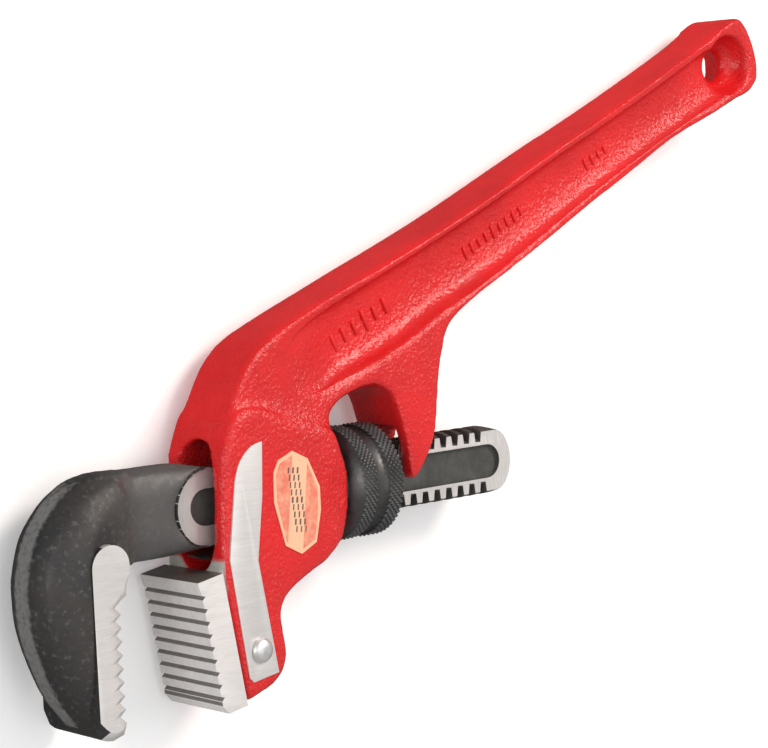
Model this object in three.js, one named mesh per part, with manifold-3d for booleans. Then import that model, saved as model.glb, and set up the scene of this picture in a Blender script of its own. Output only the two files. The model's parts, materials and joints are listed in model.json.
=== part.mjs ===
// Offset-handle pipe wrench, lying on its side. Millimetres, +Z up.
// The shank of the sliding jaw runs along X with its jaw at -X and its tail at +X.
// The grip leaves the housing on the +Y side, and Z = 0 is the mid-plane until the last lines.
import * as THREE from 'three';
import { mergeVertices } from 'three/addons/utils/BufferGeometryUtils.js';
import Module from 'manifold-3d';

const wasm = await Module();
wasm.setup();

// ---- driving sizes ------------------------------------------------------------------------
const runGap = 0.5; // sliding pieces to the housing
const fitGap = 0.3; // fixed pieces to their seats

const gripLength = 139; // from the grip's root to its far end
const gripAngle = THREE.MathUtils.degToRad(24.5); // grip to shank
const gripRootHalf = 11.3;
const gripWaistHalf = 9.9;
const gripEndHalf = 12;
const flangeRootWidth = 20.4; // grip across its flanges, along Z, at the housing
const flangeEndWidth = 18; // and at its far end
const webThickness = 8;
const flangeEdge = 2.2; // land between the outline and the web pocket
const webSlope = 4.5; // width of the slope from the land down to the web
const hangHoleRadius = 4.8;
const hangHoleInset = 14; // hole centre to the grip's end
const hangHoleWall = 4.4; // casting left around the hole, along Z
const hangHoleBowl = 9.2; // radius of the hollow around it, at the flange edges

const jawWidth = 25.2; // both jaws, along Z
const housingWidth = 25;
const padHeight = 0.3; // machined side strips above the cast sides
const castEdge = 0.8; // rounding of the grip's and lug's cast edges
const housingEdge = 1.6;

const shankRadius = 10; // rounded thread edges of the shank
const shankThickness = 9.8;
const shankTail = 113.4; // ring centre to the tail
const shankRecessRadius = 4.9;
const shankRecessEnd = 104;
const shankRecessDepth = 1.4;
const neckRise = 2.3; // the jaw's neck above the shank's edge
const neckThickness = 13.2;

const threadPitch = 4.62;
const threadDepth = 2.4;
const threadRootWidth = 2;
const threadMouthWidth = 2.8;
const threadFirst = 16.9; // first groove on the upper edge, from the ring centre
const threadCount = 19;

const nutRadius = 16;
const nutFront = 41.4;
const nutConeLength = 4.4;
const nutBandWidth = 6;
const nutGrooveWidth = 3.8;
const nutGrooveDepth = 1.5;
const nutFaceWall = 1.1; // front face around the bore
const nutThreadRadius = 0.95; // rounded thread ridge
const nutThreadSink = 0.55; // its middle, inside the bore wall

const jawOpening = 22.8; // top of the heel jaw's face to the hook jaw's tooth tips
const toothPitch = 3.47;
const toothDepth = 1.9;
const toothCount = 9;
const toothLine = -32.5; // hook jaw tooth tips, from the ring centre
const heelLean = THREE.MathUtils.degToRad(9.6);
const heelDepth = 8.6;
const heelHeight = 36.6;
const heelBrow = 3.6; // plain face above the heel jaw's grooves
const heelToe = 3.5; // and below them, at least
const heelGrooveWidth = 1.3;
const heelGrooveDepth = 1.1;
const heelTop = new THREE.Vector2(-9.7, -18); // upper front corner

const channelAbove = 7.2; // room for the springs over and under the shank
const channelBelow = 7.6;
const pinBehind = 7.6; // pin centre behind the heel jaw's back
const pinRise = 12.7; // and above its foot
const pinRadius = 2.6;
const pinHeadRadius = 3.3;
const pinHeadHeight = 1.9;
const springWire = 1.2;
const springRadius = 3.4; // middle of the wire
const springTurns = 6;
const leafThickness = 0.8;
const leafWidth = 9;
const rivetRadius = 1.5;
const labelThickness = 0.3;

// ---- values worked out from them ----------------------------------------------------------
const slotHalfWidth = shankThickness / 2 + 1.2;
const nutLength = nutConeLength + 2 * nutBandWidth + nutGrooveWidth;
const nutRear = nutFront + nutLength;
const nutMiddle = (nutFront + nutRear) / 2;
const nutBore = shankRadius + 0.5;
const nutFaceRadius = nutBore + nutFaceWall;
const neckHalfHeight = shankRadius + neckRise;
const neckUnder = 0.4 - neckHalfHeight;
const neckRound = neckHalfHeight + 0.3; // radius of the neck's rounded edges about the shank's axis
const channelHalfWidth = neckThickness / 2 + runGap;
const channelTop = shankRadius + channelAbove;
const channelBottom = -shankRadius - channelBelow;
const nutPocketGap = 1; // lets the nut rock with the sprung jaw
const jawShift = heelTop.x - jawOpening - toothLine; // ring centre along X
const flangeHalf = flangeRootWidth / 2;
const housingHalf = housingWidth / 2;
const padHalf = housingHalf + padHeight;

// ---- materials ----------------------------------------------------------------------------
const finish = (color, roughness, metalness) =>
  new THREE.MeshStandardMaterial({ color, roughness, metalness });
const enamel = finish(0xd81f22, 0.35, 0.1);
const forged = finish(0x3c3c40, 0.55, 0.6);
const groundSteel = finish(0xc9c7c4, 0.35, 0.9);
const blackOxide = finish(0x2c2d30, 0.5, 0.6);
const springSteel = finish(0x9a9a9c, 0.35, 0.9);
const decal = finish(0xf0b48c, 0.5, 0);

// ---- tools for solids ---------------------------------------------------------------------
function solid(geometry) {
  geometry.deleteAttribute('normal');
  geometry.deleteAttribute('uv');
  const merged = mergeVertices(geometry, 1e-4);
  const vertProperties = new Float32Array(merged.attributes.position.array);
  const triVerts = new Uint32Array(merged.index.array);
  return new wasm.Manifold(new wasm.Mesh({ numProp: 3, vertProperties, triVerts }));
}

function toMesh(name, body, material) {
  const { vertProperties, triVerts } = body.getMesh();
  const geometry = new THREE.BufferGeometry();
  geometry.setAttribute('position', new THREE.BufferAttribute(vertProperties, 3));
  geometry.setIndex(new THREE.BufferAttribute(triVerts, 1));
  geometry.computeVertexNormals();
  const mesh = new THREE.Mesh(geometry, material);
  mesh.name = name;
  return mesh;
}

const union = (bodies) => bodies.reduce((whole, body) => whole.add(body));

// A shape's outline as one polygon, without repeated points where its curves meet.
function outlineOf(shape) {
  const pieces = (curve) => {
    if (curve.isSplineCurve) return 3 * (curve.points.length - 1);
    return curve.isEllipseCurve ? 14 : 1;
  };
  const points = shape.curves.flatMap((curve) => curve.getPoints(pieces(curve)));
  const apart = points.filter((point, index) => {
    const before = points[(index + points.length - 1) % points.length];
    return point.distanceTo(before) > 0.02;
  });
  return new THREE.Shape(apart);
}

// An XY outline made solid from -half to +half in Z, with rounded edges of the given size.
function plate(shape, half, edge = 0, edgeSteps = 2, edgeInset = edge) {
  const geometry = new THREE.ExtrudeGeometry(outlineOf(shape), {
    depth: 2 * (half - edge),
    bevelEnabled: edge > 0, bevelThickness: edge, bevelSize: edgeInset,
    bevelOffset: -edgeInset, bevelSegments: edgeSteps,
  });
  return solid(geometry.translate(0, 0, edge - half));
}

// The same outline from one Z to another, with sharp edges.
function slab(shape, low, high) {
  const geometry = new THREE.ExtrudeGeometry(outlineOf(shape), {
    depth: high - low, bevelEnabled: false,
  });
  return solid(geometry.translate(0, 0, low));
}

function box(low, high) {
  const size = high.map((value, axis) => value - low[axis]);
  const middle = high.map((value, axis) => (value + low[axis]) / 2);
  return solid(new THREE.BoxGeometry(...size).translate(...middle));
}

// A round piece on the X axis from [x, radius] pairs that start and end on the axis or close.
function turned(profile, segments = 36) {
  const points = profile.map(([x, radius]) => new THREE.Vector2(radius, x));
  const lathe = new THREE.LatheGeometry(points, segments);
  return solid(lathe.rotateZ(-Math.PI / 2).rotateX(Math.PI));
}

function alongZ(radius, low, high, at, segments = 32) {
  const cylinder = new THREE.CylinderGeometry(radius, radius, high - low, segments);
  return solid(cylinder.rotateX(Math.PI / 2).translate(at.x, at.y, (low + high) / 2));
}

function alongY(radius, low, high, x, segments = 28) {
  const cylinder = new THREE.CylinderGeometry(radius, radius, high - low, segments);
  return solid(cylinder.translate(x, (low + high) / 2, 0));
}

const vectors = (pairs) => pairs.map(([x, y]) => new THREE.Vector2(x, y));

function polygon(pairs) {
  return new THREE.Shape(vectors(pairs));
}

// A long hole along X, with round ends about fromX and toX.
function stadium(fromX, toX, radius) {
  const shape = new THREE.Shape();
  shape.absarc(fromX, 0, radius, Math.PI / 2, -Math.PI / 2, false);
  shape.absarc(toX, 0, radius, -Math.PI / 2, Math.PI / 2, false);
  return shape;
}

class Helix extends THREE.Curve {
  // A helix on the X axis, right-handed, whose ridge is on +Y at startX.
  constructor(startX, radius, pitch, turns) {
    super();
    Object.assign(this, { startX, radius, pitch, turns });
  }

  getPoint(t, target = new THREE.Vector3()) {
    const angle = 2 * Math.PI * this.turns * t;
    const x = this.startX + this.pitch * this.turns * t;
    return target.set(x, this.radius * Math.cos(angle), this.radius * Math.sin(angle));
  }
}

function coil(helix, wireRadius, sides, stepsPerTurn) {
  const section = new THREE.Shape();
  section.absarc(0, 0, wireRadius, 0, 2 * Math.PI, false);
  return solid(new THREE.ExtrudeGeometry(section, {
    extrudePath: helix, steps: Math.round(helix.turns * stepsPerTurn),
    curveSegments: sides / 2, bevelEnabled: false,
  }));
}

// ---- grip frame ---------------------------------------------------------------------------
// along runs up the grip from its root, across is square to it on the outer side.
const gripRoot = new THREE.Vector2(100.8, 61.9);

function grip(along, across) {
  return new THREE.Vector2(along, across).rotateAround(new THREE.Vector2(), gripAngle)
    .add(gripRoot);
}

const hangHole = grip(gripLength - hangHoleInset, 0);

// ---- handle casting -----------------------------------------------------------------------
const heelFoot = heelTop.clone().add(new THREE.Vector2(heelHeight * Math.tan(heelLean), -heelHeight));
const housingFoot = new THREE.Vector2(heelFoot.x + heelDepth + fitGap, heelFoot.y + 2.4);
const housingBrow = new THREE.Vector2(heelTop.x + heelDepth + fitGap, heelTop.y);
const lugTip = new THREE.Vector2(nutRear + 7.6, -0.8);

// The housing's rear edge: beside the nut, and from there down to its foot.
const waistY = -31.4;
const towardsFoot = (x, share) => [x, THREE.MathUtils.lerp(waistY, heelFoot.y, share)];
const cheekRear = vectors([
  [nutFront + 1.6, 8], [nutFront + 2.9, 0], [nutFront + 2.1, -7], [nutFront - 0.5, -14], [35, -19],
]);
const footRear = vectors([
  [29.1, -21.4], [23, -24.5], [19.6, -27.6], [18.6, waistY], towardsFoot(19.4, 0.24),
  towardsFoot(19.8, 0.46), towardsFoot(17.8, 0.66), towardsFoot(13.8, 0.78),
]);

function handleOutline() {
  const shape = new THREE.Shape();
  shape.moveTo(housingFoot.x, housingFoot.y);
  shape.lineTo(housingBrow.x, housingBrow.y);
  shape.lineTo(0, 10.5);
  shape.splineThru(vectors([
    [1.8, 16], [4.6, 23], [8.2, 30], [12.4, 36.4], [19.4, 42.4], [30, 47.3], [43, 52.4],
  ]));
  shape.splineThru([
    grip(-38, gripRootHalf + 2.9), grip(-22, gripRootHalf + 1.8), grip(2, gripRootHalf + 0.7),
    grip(40, gripRootHalf + 0.2), grip(gripLength * 0.57, gripWaistHalf + 0.7),
    grip(gripLength * 0.8, gripWaistHalf + 0.8), grip(gripLength - 16, gripEndHalf - 0.6),
    grip(gripLength - 9, gripEndHalf),
  ]);
  shape.splineThru([
    grip(gripLength - 4.4, gripEndHalf - 0.2), grip(gripLength - 1.7, gripEndHalf - 2.2),
    grip(gripLength - 0.4, gripEndHalf - 6), grip(gripLength, 1),
    grip(gripLength - 0.5, 7.6 - gripEndHalf), grip(gripLength - 1.9, 3.8 - gripEndHalf),
    grip(gripLength - 4.2, 1.2 - gripEndHalf), grip(gripLength - 8.4, -gripEndHalf),
  ]);
  shape.splineThru([
    grip(gripLength - 24, -gripEndHalf + 1), grip(gripLength * 0.66, -gripWaistHalf + 0.6),
    grip(gripLength * 0.47, -gripWaistHalf), grip(47, -gripWaistHalf - 0.2),
    grip(20, -gripRootHalf + 0.2), grip(-6, -gripRootHalf),
  ]);
  shape.splineThru(vectors([
    [89.6, 43.2], [85.6, 38.6], [83.2, 33], [81.6, 26], [80.3, 16],
    [78.9, 9.9], [76, 4.8], [73, 1],
  ]));
  shape.lineTo(lugTip.x + 2, lugTip.y);
  shape.lineTo(lugTip.x, lugTip.y);
  shape.splineThru(vectors([
    [nutRear + 6.9, 2], [nutRear + 6.6, 6], [nutRear + 5.6, 12], [nutRear + 3.8, 18],
    [nutRear + 1.9, 22.8], [nutRear - 1.7, 26], [56, 26.6], [50, 25.6], [44.6, 23.6],
    [41, 20.6], [nutFront - 0.9, 17],
  ]));
  shape.splineThru(cheekRear);
  shape.splineThru(footRear);
  shape.closePath();
  return shape;
}

function housingOutline() {
  const shape = new THREE.Shape();
  shape.moveTo(housingFoot.x, housingFoot.y);
  shape.lineTo(housingBrow.x, housingBrow.y);
  shape.lineTo(0, 10.5);
  shape.splineThru(vectors([[2.6, 18], [6.4, 24.4], [14, 25.4], [24, 21.6], [34, 19.4]]));
  shape.lineTo(nutFront - 1, 16);
  shape.splineThru(cheekRear);
  shape.splineThru(footRear);
  shape.closePath();
  return shape;
}

// The pocket that leaves the web, drawn at the level of the flange edges.
function webPocket() {
  const shape = new THREE.Shape();
  const inset = flangeEdge;
  const end = gripLength - hangHoleInset - 7;
  shape.moveTo(24.6, 34);
  shape.splineThru([
    new THREE.Vector2(26.2, 39.4), new THREE.Vector2(33, 44.8), new THREE.Vector2(46, 50.6),
    grip(-30, gripRootHalf - inset + 1.9), grip(2, gripRootHalf - inset + 0.5),
    grip(40, gripRootHalf - inset), grip(gripLength * 0.57, gripWaistHalf - inset + 0.5),
    grip(end, gripWaistHalf - inset + 0.8),
  ]);
  shape.splineThru([
    grip(end + 6, 5.4), grip(end + 8, 0), grip(end + 6, -5.4), grip(end, inset - gripWaistHalf - 0.6),
  ]);
  shape.splineThru([
    grip(gripLength * 0.47, inset - gripWaistHalf), grip(20, inset - gripRootHalf + 0.2),
    grip(-6, inset - gripRootHalf), new THREE.Vector2(84, 45.2), new THREE.Vector2(70, 38.2),
    new THREE.Vector2(58, 33.6), new THREE.Vector2(46, 29.6), new THREE.Vector2(36, 26.4),
    new THREE.Vector2(28, 28), new THREE.Vector2(24.6, 34),
  ]);
  return shape;
}

function sideStrip() {
  const shape = new THREE.Shape();
  shape.moveTo(13.8, 16.3);
  shape.splineThru(vectors([[10.2, 15.4], [7.1, 13], [5.2, 10.2], [4, 6.4]]));
  shape.lineTo(1.2, -13.4);
  shape.lineTo(...towardsFoot(5.9, 0.61));
  shape.lineTo(...towardsFoot(7.2, 0.67));
  shape.lineTo(...towardsFoot(15.8, 0.615));
  shape.lineTo(10.6, -15);
  shape.lineTo(13, 2);
  shape.closePath();
  return shape;
}

// Outline of the nut grown by a gap, as [x, radius] pairs from face to face.
function nutSides(gap) {
  const coneEnd = nutFront + nutConeLength;
  return [[nutFront - gap, nutFaceRadius + gap * 0.6], [coneEnd - gap, nutRadius + gap * 0.4],
    [coneEnd, nutRadius + gap]];
}

// The heel jaw's outline, leaning with the housing's front face, grown by a gap.
const heelUp = new THREE.Vector2(-Math.sin(heelLean), Math.cos(heelLean));
const heelBack = new THREE.Vector2(Math.cos(heelLean), Math.sin(heelLean));
const heelPoint = (back, down) => heelTop.clone().addScaledVector(heelBack, back)
  .addScaledVector(heelUp, -down);
const pinCentre = heelPoint(heelDepth + pinBehind, heelHeight - pinRise);

// The tongue that reaches back from the heel jaw around its pin.
const tongueHalf = 5.5;
const tongueReach = 13.2;
const tongueTop = 11; // below the heel jaw's top
const tongueFoot = 8; // above its foot

function tongueOutline(gap) {
  const root = heelDepth - 2;
  const tip = heelDepth + tongueReach + gap;
  const top = tongueTop - gap;
  const bottom = heelHeight - tongueFoot + gap;
  return new THREE.Shape([
    heelPoint(root, top), heelPoint(tip, top), heelPoint(tip, bottom), heelPoint(root, bottom),
  ]);
}

// Cuts a body to the grip's thickness, which tapers towards its far end.
function gripTaper() {
  const far = grip(gripLength, 0).x + 20;
  const end = flangeEndWidth / 2;
  const taper = polygon([[-20, -flangeHalf], [70, -flangeHalf], [far, -end], [far, end],
    [70, flangeHalf], [-20, flangeHalf]]);
  return solid(new THREE.ExtrudeGeometry(taper, { depth: 400, bevelEnabled: false })
    .rotateX(Math.PI / 2).translate(0, 200, 0));
}

// The round hollow that leaves the casting thin around the hanging hole, on one side.
function holeBowl(side) {
  const floor = hangHoleWall / 2;
  return turned([
    [floor, 0], [floor, hangHoleRadius + 0.8], [floor + 0.8, hangHoleRadius + 2.2],
    [flangeHalf - 3.4, hangHoleBowl - 0.5], [flangeHalf + 1, hangHoleBowl], [flangeHalf + 1, 0],
  ]).rotate([0, -side * 90, 0]).translate([hangHole.x, hangHole.y, 0]);
}

const coilX = 23.5;
const coilBottom = shankRadius + fitGap;
const coilTop = coilBottom + springTurns * 2.3;
const rivetX = 35;

function handle() {
  const pocketDepth = flangeHalf - webThickness / 2;
  const pocket = plate(webPocket(), pocketDepth, pocketDepth - 0.01, 3, webSlope);
  const pocketShift = flangeHalf;
  const channelShape = new THREE.Shape();
  const channelMiddle = (channelTop + channelBottom) / 2;
  const channelRise = (channelTop - channelBottom) / 2 - channelHalfWidth;
  channelShape.absarc(0, channelMiddle + channelRise, channelHalfWidth, 0, Math.PI, false);
  channelShape.absarc(0, channelMiddle - channelRise, channelHalfWidth, Math.PI, 2 * Math.PI, false);
  const channel = solid(new THREE.ExtrudeGeometry(channelShape, {
    depth: nutMiddle + 20, bevelEnabled: false, curveSegments: 8,
  }).rotateY(Math.PI / 2).translate(-20, 0, 0));
  const nutPocket = turned([
    [nutFront - nutPocketGap, 0], ...nutSides(nutPocketGap),
    [nutRear + nutPocketGap, nutRadius + nutPocketGap], [nutRear + nutPocketGap, 0],
  ]);
  const tailSlot = box([nutMiddle, -60, -slotHalfWidth], [nutMiddle + 60, shankRadius + 4, slotHalfWidth]);
  const pads = slab(sideStrip(), -padHalf, padHalf);
  const casting = plate(handleOutline(), flangeHalf, castEdge).intersect(gripTaper());
  return union([casting, plate(housingOutline(), housingHalf, housingEdge), pads])
    .subtract(union([pocket.translate([0, 0, pocketShift]), pocket.translate([0, 0, -pocketShift])]))
    .subtract(union([holeBowl(1), holeBowl(-1)]))
    .subtract(channel)
    .subtract(nutPocket)
    .subtract(tailSlot)
    .subtract(slab(tongueOutline(fitGap), -tongueHalf - fitGap, tongueHalf + fitGap))
    .subtract(alongZ(pinRadius + fitGap, -padHalf - 1, padHalf + 1, pinCentre))
    .subtract(alongZ(hangHoleRadius, -flangeHalf - 1, flangeHalf + 1, hangHole))
    .subtract(alongY(springRadius + springWire / 2 + runGap, 0, coilTop + fitGap, coilX))
    .subtract(alongY(rivetRadius + fitGap, channelBottom - 2.4, channelBottom + 4, rivetX, 16));
}

// ---- hook jaw -----------------------------------------------------------------------------
// Drawn with the centre of the shank's left recess end at the origin.
function hookOutline() {
  const shape = new THREE.Shape();
  shape.moveTo(3, shankRadius);
  shape.splineThru(vectors([[-6, neckHalfHeight - 0.4], [-13, neckHalfHeight], [-32, neckHalfHeight]]));
  shape.splineThru(vectors([
    [-40, 10.4], [-46.4, 6.4], [-52.4, -1], [-55.4, -9.8], [-56.1, -17], [-55, -27.5],
    [-50, -41], [-45, -48.6], [-40.6, -53.2], [-37, -54.2],
  ]));
  shape.lineTo(toothLine - 1, -53.2);
  shape.lineTo(toothLine, -50.4);
  for (let tooth = 0; tooth < toothCount; tooth += 1) {
    const low = -50.4 + tooth * toothPitch;
    shape.lineTo(toothLine - toothDepth, low + toothPitch * 0.55);
    shape.lineTo(toothLine, low + toothPitch);
  }
  shape.lineTo(toothLine + 1.9, -18);
  shape.splineThru(vectors([
    [-30, neckUnder - 3.1], [-27.6, neckUnder - 0.9], [-23, neckUnder], [-12, neckUnder],
    [-5, neckUnder + 0.5], [3, -shankRadius],
  ]));
  shape.closePath();
  return shape;
}

function shankOutline() {
  const shape = new THREE.Shape();
  const bow = 8.6;
  shape.moveTo(1, -shankRadius);
  shape.lineTo(shankTail - bow, -shankRadius);
  shape.splineThru(vectors([
    [shankTail - 3.6, -8], [shankTail - 1, -4.6], [shankTail, 0],
    [shankTail - 1, 4.6], [shankTail - 3.6, 8], [shankTail - bow, shankRadius],
  ]));
  shape.lineTo(1, shankRadius);
  shape.closePath();
  return shape;
}

// The jaw from above: full width at the teeth, waisted to the neck.
function hookPlan() {
  const jaw = jawWidth / 2;
  const neck = neckThickness / 2;
  const shape = new THREE.Shape();
  shape.moveTo(-70, -jaw);
  shape.lineTo(-31, -jaw);
  shape.splineThru(vectors([[-28.6, -jaw + 0.9], [-25.8, -neck - 1.4], [-22.4, -neck]]));
  shape.lineTo(12, -neck);
  shape.lineTo(12, neck);
  shape.lineTo(-22.4, neck);
  shape.splineThru(vectors([[-25.8, neck + 1.4], [-28.6, jaw - 0.9], [-31, jaw]]));
  shape.lineTo(-70, jaw);
  shape.closePath();
  return solid(new THREE.ExtrudeGeometry(shape, { depth: 160, bevelEnabled: false, curveSegments: 4 })
    .rotateX(Math.PI / 2).translate(0, 80, 0));
}

// Thread grooves on one edge of the shank: round rings tipped by the lead angle.
function threadGrooves(side) {
  const lead = Math.atan(threadPitch / (2 * Math.PI * (shankRadius - threadDepth / 2)));
  const inner = shankRadius - threadDepth;
  const outer = shankRadius + 1;
  const flare = (threadMouthWidth - threadRootWidth) / 2 / threadDepth;
  const mouth = threadRootWidth / 2 + flare * (outer - inner);
  const root = threadRootWidth / 2;
  const section = [[-root, inner], [-mouth, outer], [mouth, outer], [root, inner], [-root, inner]];
  const ring = turned(section, 36).rotate([0, side * THREE.MathUtils.radToDeg(lead), 0]);
  const first = threadFirst + (side > 0 ? 0 : threadPitch / 2);
  const rings = Array.from({ length: threadCount }, (_, turn) =>
    ring.translate([first + turn * threadPitch, 0, 0]));
  const reach = shankRadius + 4;
  const [low, high] = side > 0 ? [1, reach] : [-reach, -1];
  const halfSpace = box([-5, low, -reach], [200, high, reach]);
  return union(rings).intersect(halfSpace);
}

function hookJaw() {
  const flat = shankThickness / 2;
  const mill = stadium(0, shankTail + 20, shankRadius + 0.3);
  const recess = stadium(0, shankRecessEnd, shankRecessRadius);
  const roundBar = turned([[0, 0], [0, shankRadius], [shankTail + 1, shankRadius], [shankTail + 1, 0]]);
  const neckBar = turned([[-80, 0], [-80, 80], [-31, 80], [-23, neckRound], [20, neckRound], [20, 0]]);
  const jaw = plate(hookOutline(), jawWidth / 2, 2.4, 1).intersect(hookPlan()).intersect(neckBar);
  const shank = plate(shankOutline(), flat).intersect(roundBar);
  return jaw
    .subtract(slab(mill, flat, 30)).subtract(slab(mill, -30, -flat))
    .add(shank)
    .subtract(slab(recess, flat - shankRecessDepth, 30))
    .subtract(slab(recess, -30, shankRecessDepth - flat))
    .subtract(threadGrooves(1)).subtract(threadGrooves(-1))
    .translate([jawShift, 0, 0]);
}

// ---- heel jaw -----------------------------------------------------------------------------
function heelOutline() {
  const shape = new THREE.Shape();
  const land = 0.6;
  const points = [heelPoint(heelDepth, 0), heelPoint(0, 0), heelPoint(land, heelBrow)];
  const room = heelHeight - heelBrow - heelGrooveWidth - heelToe;
  const grooves = Math.floor(room / toothPitch) + 1;
  for (let groove = 0; groove < grooves; groove += 1) {
    const down = heelBrow + groove * toothPitch;
    if (groove > 0) points.push(heelPoint(land, down));
    points.push(heelPoint(land + heelGrooveDepth, down + heelGrooveWidth * 0.35));
    points.push(heelPoint(land, down + heelGrooveWidth));
  }
  points.push(heelPoint(land, heelHeight - 2.6), heelPoint(land + 1.6, heelHeight));
  points.push(heelPoint(heelDepth, heelHeight));
  shape.setFromPoints(points);
  return shape;
}

function heelJaw() {
  return slab(heelOutline(), -jawWidth / 2, jawWidth / 2)
    .add(slab(tongueOutline(0), -tongueHalf, tongueHalf))
    .subtract(alongZ(pinRadius + fitGap, -20, 20, pinCentre));
}

function heelPin() {
  const start = -padHalf + 0.4;
  const seat = padHalf + 0.2;
  return turned([
    [start, 0], [start, pinRadius - 0.3], [start + 0.4, pinRadius], [seat, pinRadius],
    [seat, pinHeadRadius], [seat + pinHeadHeight * 0.5, pinHeadRadius * 0.86],
    [seat + pinHeadHeight * 0.85, pinHeadRadius * 0.5], [seat + pinHeadHeight, 0],
  ], 28).rotate([0, -90, 0]).translate([pinCentre.x, pinCentre.y, 0]);
}

// ---- adjusting nut ------------------------------------------------------------------------
function adjustingNut() {
  const bandOne = nutFront + nutConeLength + nutBandWidth;
  const bandTwo = nutRear - nutBandWidth;
  const valley = nutRadius - nutGrooveDepth;
  const body = turned([
    [nutFront, nutBore], [nutFront, nutFaceRadius], [nutFront + nutConeLength, nutRadius - 0.6],
    [nutFront + nutConeLength + 0.5, nutRadius], [bandOne - 0.4, nutRadius], [bandOne, valley],
    [bandTwo, valley], [bandTwo + 0.4, nutRadius], [nutRear - 0.9, nutRadius],
    [nutRear, nutRadius - 0.9], [nutRear, nutBore], [nutFront, nutBore],
  ]);
  // The ridge follows the grooves, which pass +Y at threadFirst plus whole pitches.
  const turns = Math.floor(nutLength / threadPitch) - 0.6;
  const length = turns * threadPitch;
  const earliest = nutFront + (nutLength - length) / 2;
  const grooveZero = jawShift + threadFirst;
  const start = grooveZero + Math.ceil((earliest - grooveZero) / threadPitch - 0.5) * threadPitch;
  const ridge = coil(new Helix(start, nutBore - nutThreadSink, threadPitch, turns), nutThreadRadius, 6, 20);
  return body.add(ridge);
}

// ---- springs, rivet and label -------------------------------------------------------------
function coilSpring() {
  const pitch = (coilTop - coilBottom - springWire) / springTurns;
  return coil(new Helix(0, springRadius, pitch, springTurns), springWire / 2, 6, 10)
    .rotate([0, 0, 90]).translate([coilX, coilBottom + springWire / 2 + 0.05, 0]);
}

// The leaf is riveted flat to the channel's floor and bows up to the shank in front of that.
const leafSeat = channelBottom + channelHalfWidth
  - Math.sqrt(channelHalfWidth ** 2 - (leafWidth / 2) ** 2) + fitGap;

function leafCurve() {
  const floor = leafSeat + leafThickness / 2;
  const under = -shankRadius;
  return new THREE.CatmullRomCurve3([
    [0.4, under - 4], [1.6, under - 3.3], [4, under - 3], [14, under - 2.6], [22, under - 1.4],
    [26, under - 1], [28.6, under - 2.2], [30, under - 4], [31.8, floor], [37.4, floor],
  ].map(([x, y]) => new THREE.Vector3(x, y, 0)), false, 'centripetal');
}

function flatSpring() {
  const line = leafCurve().getPoints(40);
  const half = leafThickness / 2;
  const offset = (point, index, sign) => {
    const before = line[Math.max(index - 1, 0)];
    const after = line[Math.min(index + 1, line.length - 1)];
    const ahead = new THREE.Vector2(after.x - before.x, after.y - before.y).normalize();
    return new THREE.Vector2(point.x - sign * half * ahead.y, point.y + sign * half * ahead.x);
  };
  const upper = line.map((point, index) => offset(point, index, 1));
  const lower = line.map((point, index) => offset(point, index, -1)).reverse();
  return slab(new THREE.Shape([...lower, ...upper]), -leafWidth / 2, leafWidth / 2)
    .subtract(alongY(rivetRadius + fitGap, channelBottom - 1, channelBottom + 4, rivetX, 16));
}

function springRivet() {
  const seat = leafSeat + leafThickness + fitGap;
  return turned([
    [channelBottom - 2.1, 0], [channelBottom - 2.1, rivetRadius], [seat, rivetRadius],
    [seat, rivetRadius * 1.9], [seat + 0.7, rivetRadius * 1.4], [seat + 0.9, 0],
  ], 20).rotate([0, 0, 90]).translate([rivetX, 0, 0]);
}

function sideLabel() {
  const middle = new THREE.Vector2(24.9, -1.4);
  const corner = ([x, y]) => new THREE.Vector2(middle.x + x, middle.y + y);
  const outline = [[0.7, -13.9], [6, -11.4], [8, -3], [8, 3.4], [4.2, 11.4], [-1, 14], [-6, 12],
    [-7.7, 9], [-8, 1], [-4.7, -11]].map(corner);
  const low = housingHalf + fitGap;
  return slab(new THREE.Shape(outline), low, low + labelThickness);
}

// ---- assembly -----------------------------------------------------------------------------
const wrench = new THREE.Group();
wrench.add(
  toMesh('handle', handle(), enamel),
  toMesh('hook_jaw', hookJaw(), forged),
  toMesh('heel_jaw', heelJaw(), groundSteel),
  toMesh('heel_jaw_pin', heelPin(), springSteel),
  toMesh('adjusting_nut', adjustingNut(), blackOxide),
  toMesh('coil_spring', coilSpring(), springSteel),
  toMesh('flat_spring', flatSpring(), springSteel),
  toMesh('spring_rivet', springRivet(), springSteel),
  toMesh('side_label', sideLabel(), decal),
);

// The origin is under the middle of the wrench, on the surface it lies on.
wrench.updateMatrixWorld(true);
const bounds = new THREE.Box3().setFromObject(wrench);
const middle = bounds.getCenter(new THREE.Vector3());
wrench.position.set(-middle.x, -middle.y, -bounds.min.z);

export default wrench;
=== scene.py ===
"""Looks of an offset-handle pipe wrench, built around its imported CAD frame."""
import json
import math

import bmesh
import bpy
import numpy as np
from mathutils import Matrix, Vector, noise


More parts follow.
